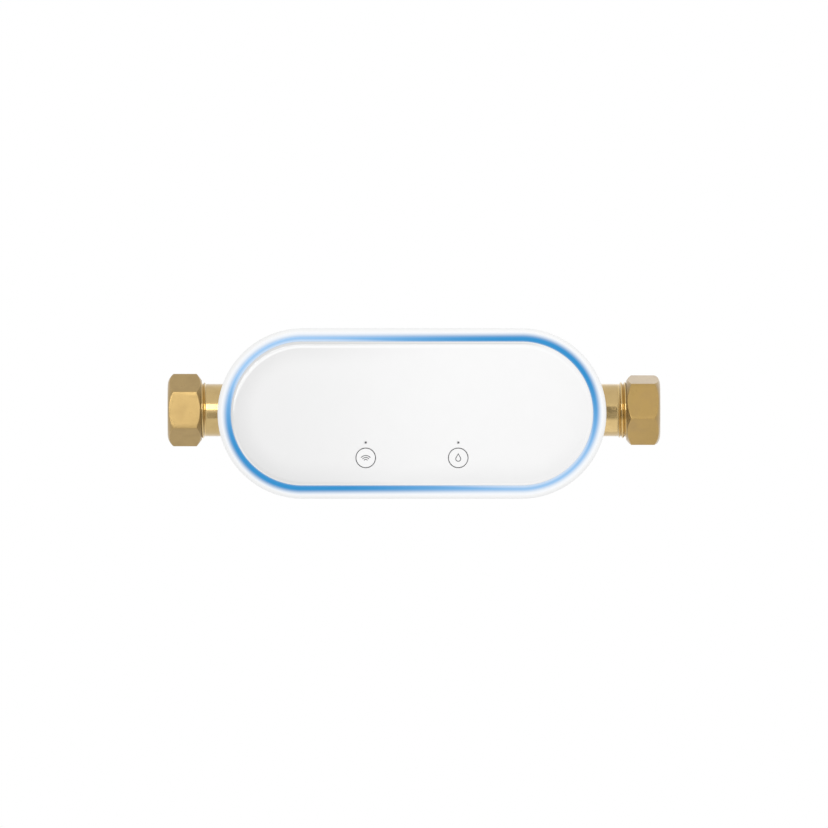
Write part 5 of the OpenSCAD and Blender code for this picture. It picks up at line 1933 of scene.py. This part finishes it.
@dataclass
class Studio:
    """Camera, lamp, white background, pale floor and the cards that the brass mirrors."""

    pill: Pill
    pixel: float = 0.587 * MM
    frame_pixels: int = 828
    housing_pixel: Point = (412.0, 413.5)
    lens: float = 1200.0
    sight: float = 100.0
    true_depth: float = 25 * MM
    key_place: Corner = (0.22, -0.30, 0.10)
    key_size: float = 0.2
    key_power: float = 0.06
    floor_z: float = -0.30
    floor_half: float = 3.0
    floor_grey: float = 0.9
    floor_roughness: float = 0.9
    floor_lift: float = 0.22
    card_rise: float = 0.01
    ambient: float = 0.772
    ambient_lean: float = 0.38

    def build(self) -> None:
        """Sets up everything that isn't the valve."""
        self.camera()
        self.lamp()
        self.background()
        self.floor()
        for card in self.cards():
            self.hang(card)
        bpy.context.scene.view_settings.view_transform = "Standard"

    def cards(self) -> list[Card]:
        """A bright strip at the upper left, dark flags below and at the outlet, strips under and behind.

        Returns:
            The cards.
        """
        lying_z = self.floor_z + self.card_rise
        return [
            Card("strip", (-3.5, -2.2, 0.07), (0.02, -2.2, 1.07), 5.2),
            Card("flag", (-0.008, -0.30, -0.22), (0.242, -0.30, -0.05), 0.35),
            Card("neck_flag", (0.215, -0.30, -0.05), (0.245, -0.30, 0.08), 0.15),
            Card("lying_strip", (0.10, -0.30, lying_z), (0.242, 0.10, lying_z), 1.4),
            Card("back_strip", (0.20, 1.0, 0.30), (0.60, 1.0, 0.80), 1.2),
        ]

    def camera(self) -> None:
        """Looks straight at the front, from far away, framed as the photograph is."""
        data = bpy.data.cameras.new("camera")
        data.lens = self.lens
        data.clip_end = self.sight
        made = add_object("camera", data)
        middle = self.frame_pixels / 2
        x = self.pill.middle.x + (middle - self.housing_pixel[0]) * self.pixel
        z = self.pill.middle.z - (middle - self.housing_pixel[1]) * self.pixel
        distance = self.frame_pixels * self.pixel * self.lens / data.sensor_width
        made.location = (x, -distance - self.true_depth, z)
        made.rotation_euler = (math.pi / 2, 0, 0)
        bpy.context.scene.camera = made

    def lamp(self) -> None:
        """Adds a soft key lamp that points at the middle of the housing and isn't mirrored."""
        data = bpy.data.lights.new("key", "AREA")
        data.shape = "RECTANGLE"
        data.size = data.size_y = self.key_size
        data.energy = self.key_power
        made = add_object("key", data)
        made.location = self.key_place
        made.rotation_euler = (self.pill.middle - made.location).to_track_quat("-Z", "Y").to_euler()
        made.visible_camera = False
        made.visible_glossy = False

    def background(self) -> None:
        """White where it is seen or mirrored, and a softer light on surfaces, stronger from the front."""
        world = bpy.data.worlds.new("studio")
        world.use_nodes = True
        bpy.context.scene.world = world
        graph = Graph(world.node_tree)
        path = graph.node("ShaderNodeLightPath")
        mirrored = path["Is Glossy Ray"].at_least(path["Is Transmission Ray"])
        seen = path["Is Camera Ray"].at_least(mirrored)
        back = graph.part(graph.node("ShaderNodeTexCoord")["Generated"], "Y")
        soft = self.ambient + self.ambient_lean * (0 - back).at_least(0.0)
        shine = world.node_tree.nodes["Background"]
        graph.feed(shine, {"Color": WHITE, "Strength": soft + (1 - soft) * seen})

    def sheet(self, name: str, corners: Sequence[Corner],
              values: Mapping[str, object]) -> tuple[Piece, Graph]:
        """Adds a flat piece of the studio.

        Args:
            name: Name of the sheet.
            corners: Its corners, in order.
            values: Values of its shader's sockets.

        Returns:
            The sheet and the tree of its material.
        """
        mesh = bpy.data.meshes.new(name)
        mesh.from_pydata(corners, [], [range(len(corners))])
        made = add_object(name, mesh)
        material = bpy.data.materials.new("look_" + name)
        material.use_nodes = True
        mesh.materials.append(material)
        graph = Graph(material.node_tree)
        graph.feed(graph.tree.nodes["Principled BSDF"], {"Emission Color": WHITE, **values})
        return made, graph

    def floor(self) -> None:
        """A white floor that catches the shadow and can be looked through from below."""
        corners = [
            (self.pill.middle.x + x * self.floor_half, y * self.floor_half, self.floor_z)
            for x, y in ((-1, -1), (1, -1), (1, 1), (-1, 1))
        ]
        made, graph = self.sheet("floor", corners, {
            "Base Color": scaled(WHITE, self.floor_grey), "Roughness": self.floor_roughness,
            "Emission Strength": self.floor_lift,
        })
        made.visible_diffuse = False
        below = graph.node("ShaderNodeNewGeometry")["Backfacing"]
        clear = graph.node("ShaderNodeBsdfTransparent")["BSDF"]
        solid = Sock(graph, graph.tree.nodes["Principled BSDF"].outputs["BSDF"])
        mixed = graph.node("ShaderNodeMixShader", None, {0: below, 1: solid, 2: clear})["Shader"]
        graph.feed(graph.tree.nodes["Material Output"], {"Surface": mixed})

    def hang(self, card: Card) -> None:
        """Hangs a card, out of sight of all but reflections.

        Args:
            card: The card.
        """
        made, _ = self.sheet(card.name, card.corners(), {
            "Base Color": BLACK, "Specular IOR Level": 0.0, "Emission Strength": card.level,
        })
        for kind in ("camera", "diffuse", "shadow", "transmission", "volume_scatter"):
            setattr(made, "visible_" + kind, False)


def main() -> None:
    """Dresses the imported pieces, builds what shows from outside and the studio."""
    logging.basicConfig(level=logging.INFO, format="%(name)s: %(message)s")
    pill = Pill.from_frame()
    finishes = Finishes(pill)
    InnerWorks(finishes).build()
    Casing(pill, finishes).build()
    FrontPanel(pill, finishes).build()
    # The inlet nut takes the paler copy of the brass as painted light.
    inlet = PipeConnection(
        Side.INLET, pill, finishes, nut_brass=finishes.brass_painted_lighter, spigot_r=15.4 * MM, nut_tilt=0.0)
    inlet.build()
    outlet = PipeConnection(
        Side.OUTLET, pill, finishes, nut_brass=finishes.brass, spigot_r=15.2 * MM, nut_tilt=16.0)
    outlet.build()
    PowerInlet.from_frame().build(finishes)
    Studio(pill).build()


if __name__ == "__main__":
    main()
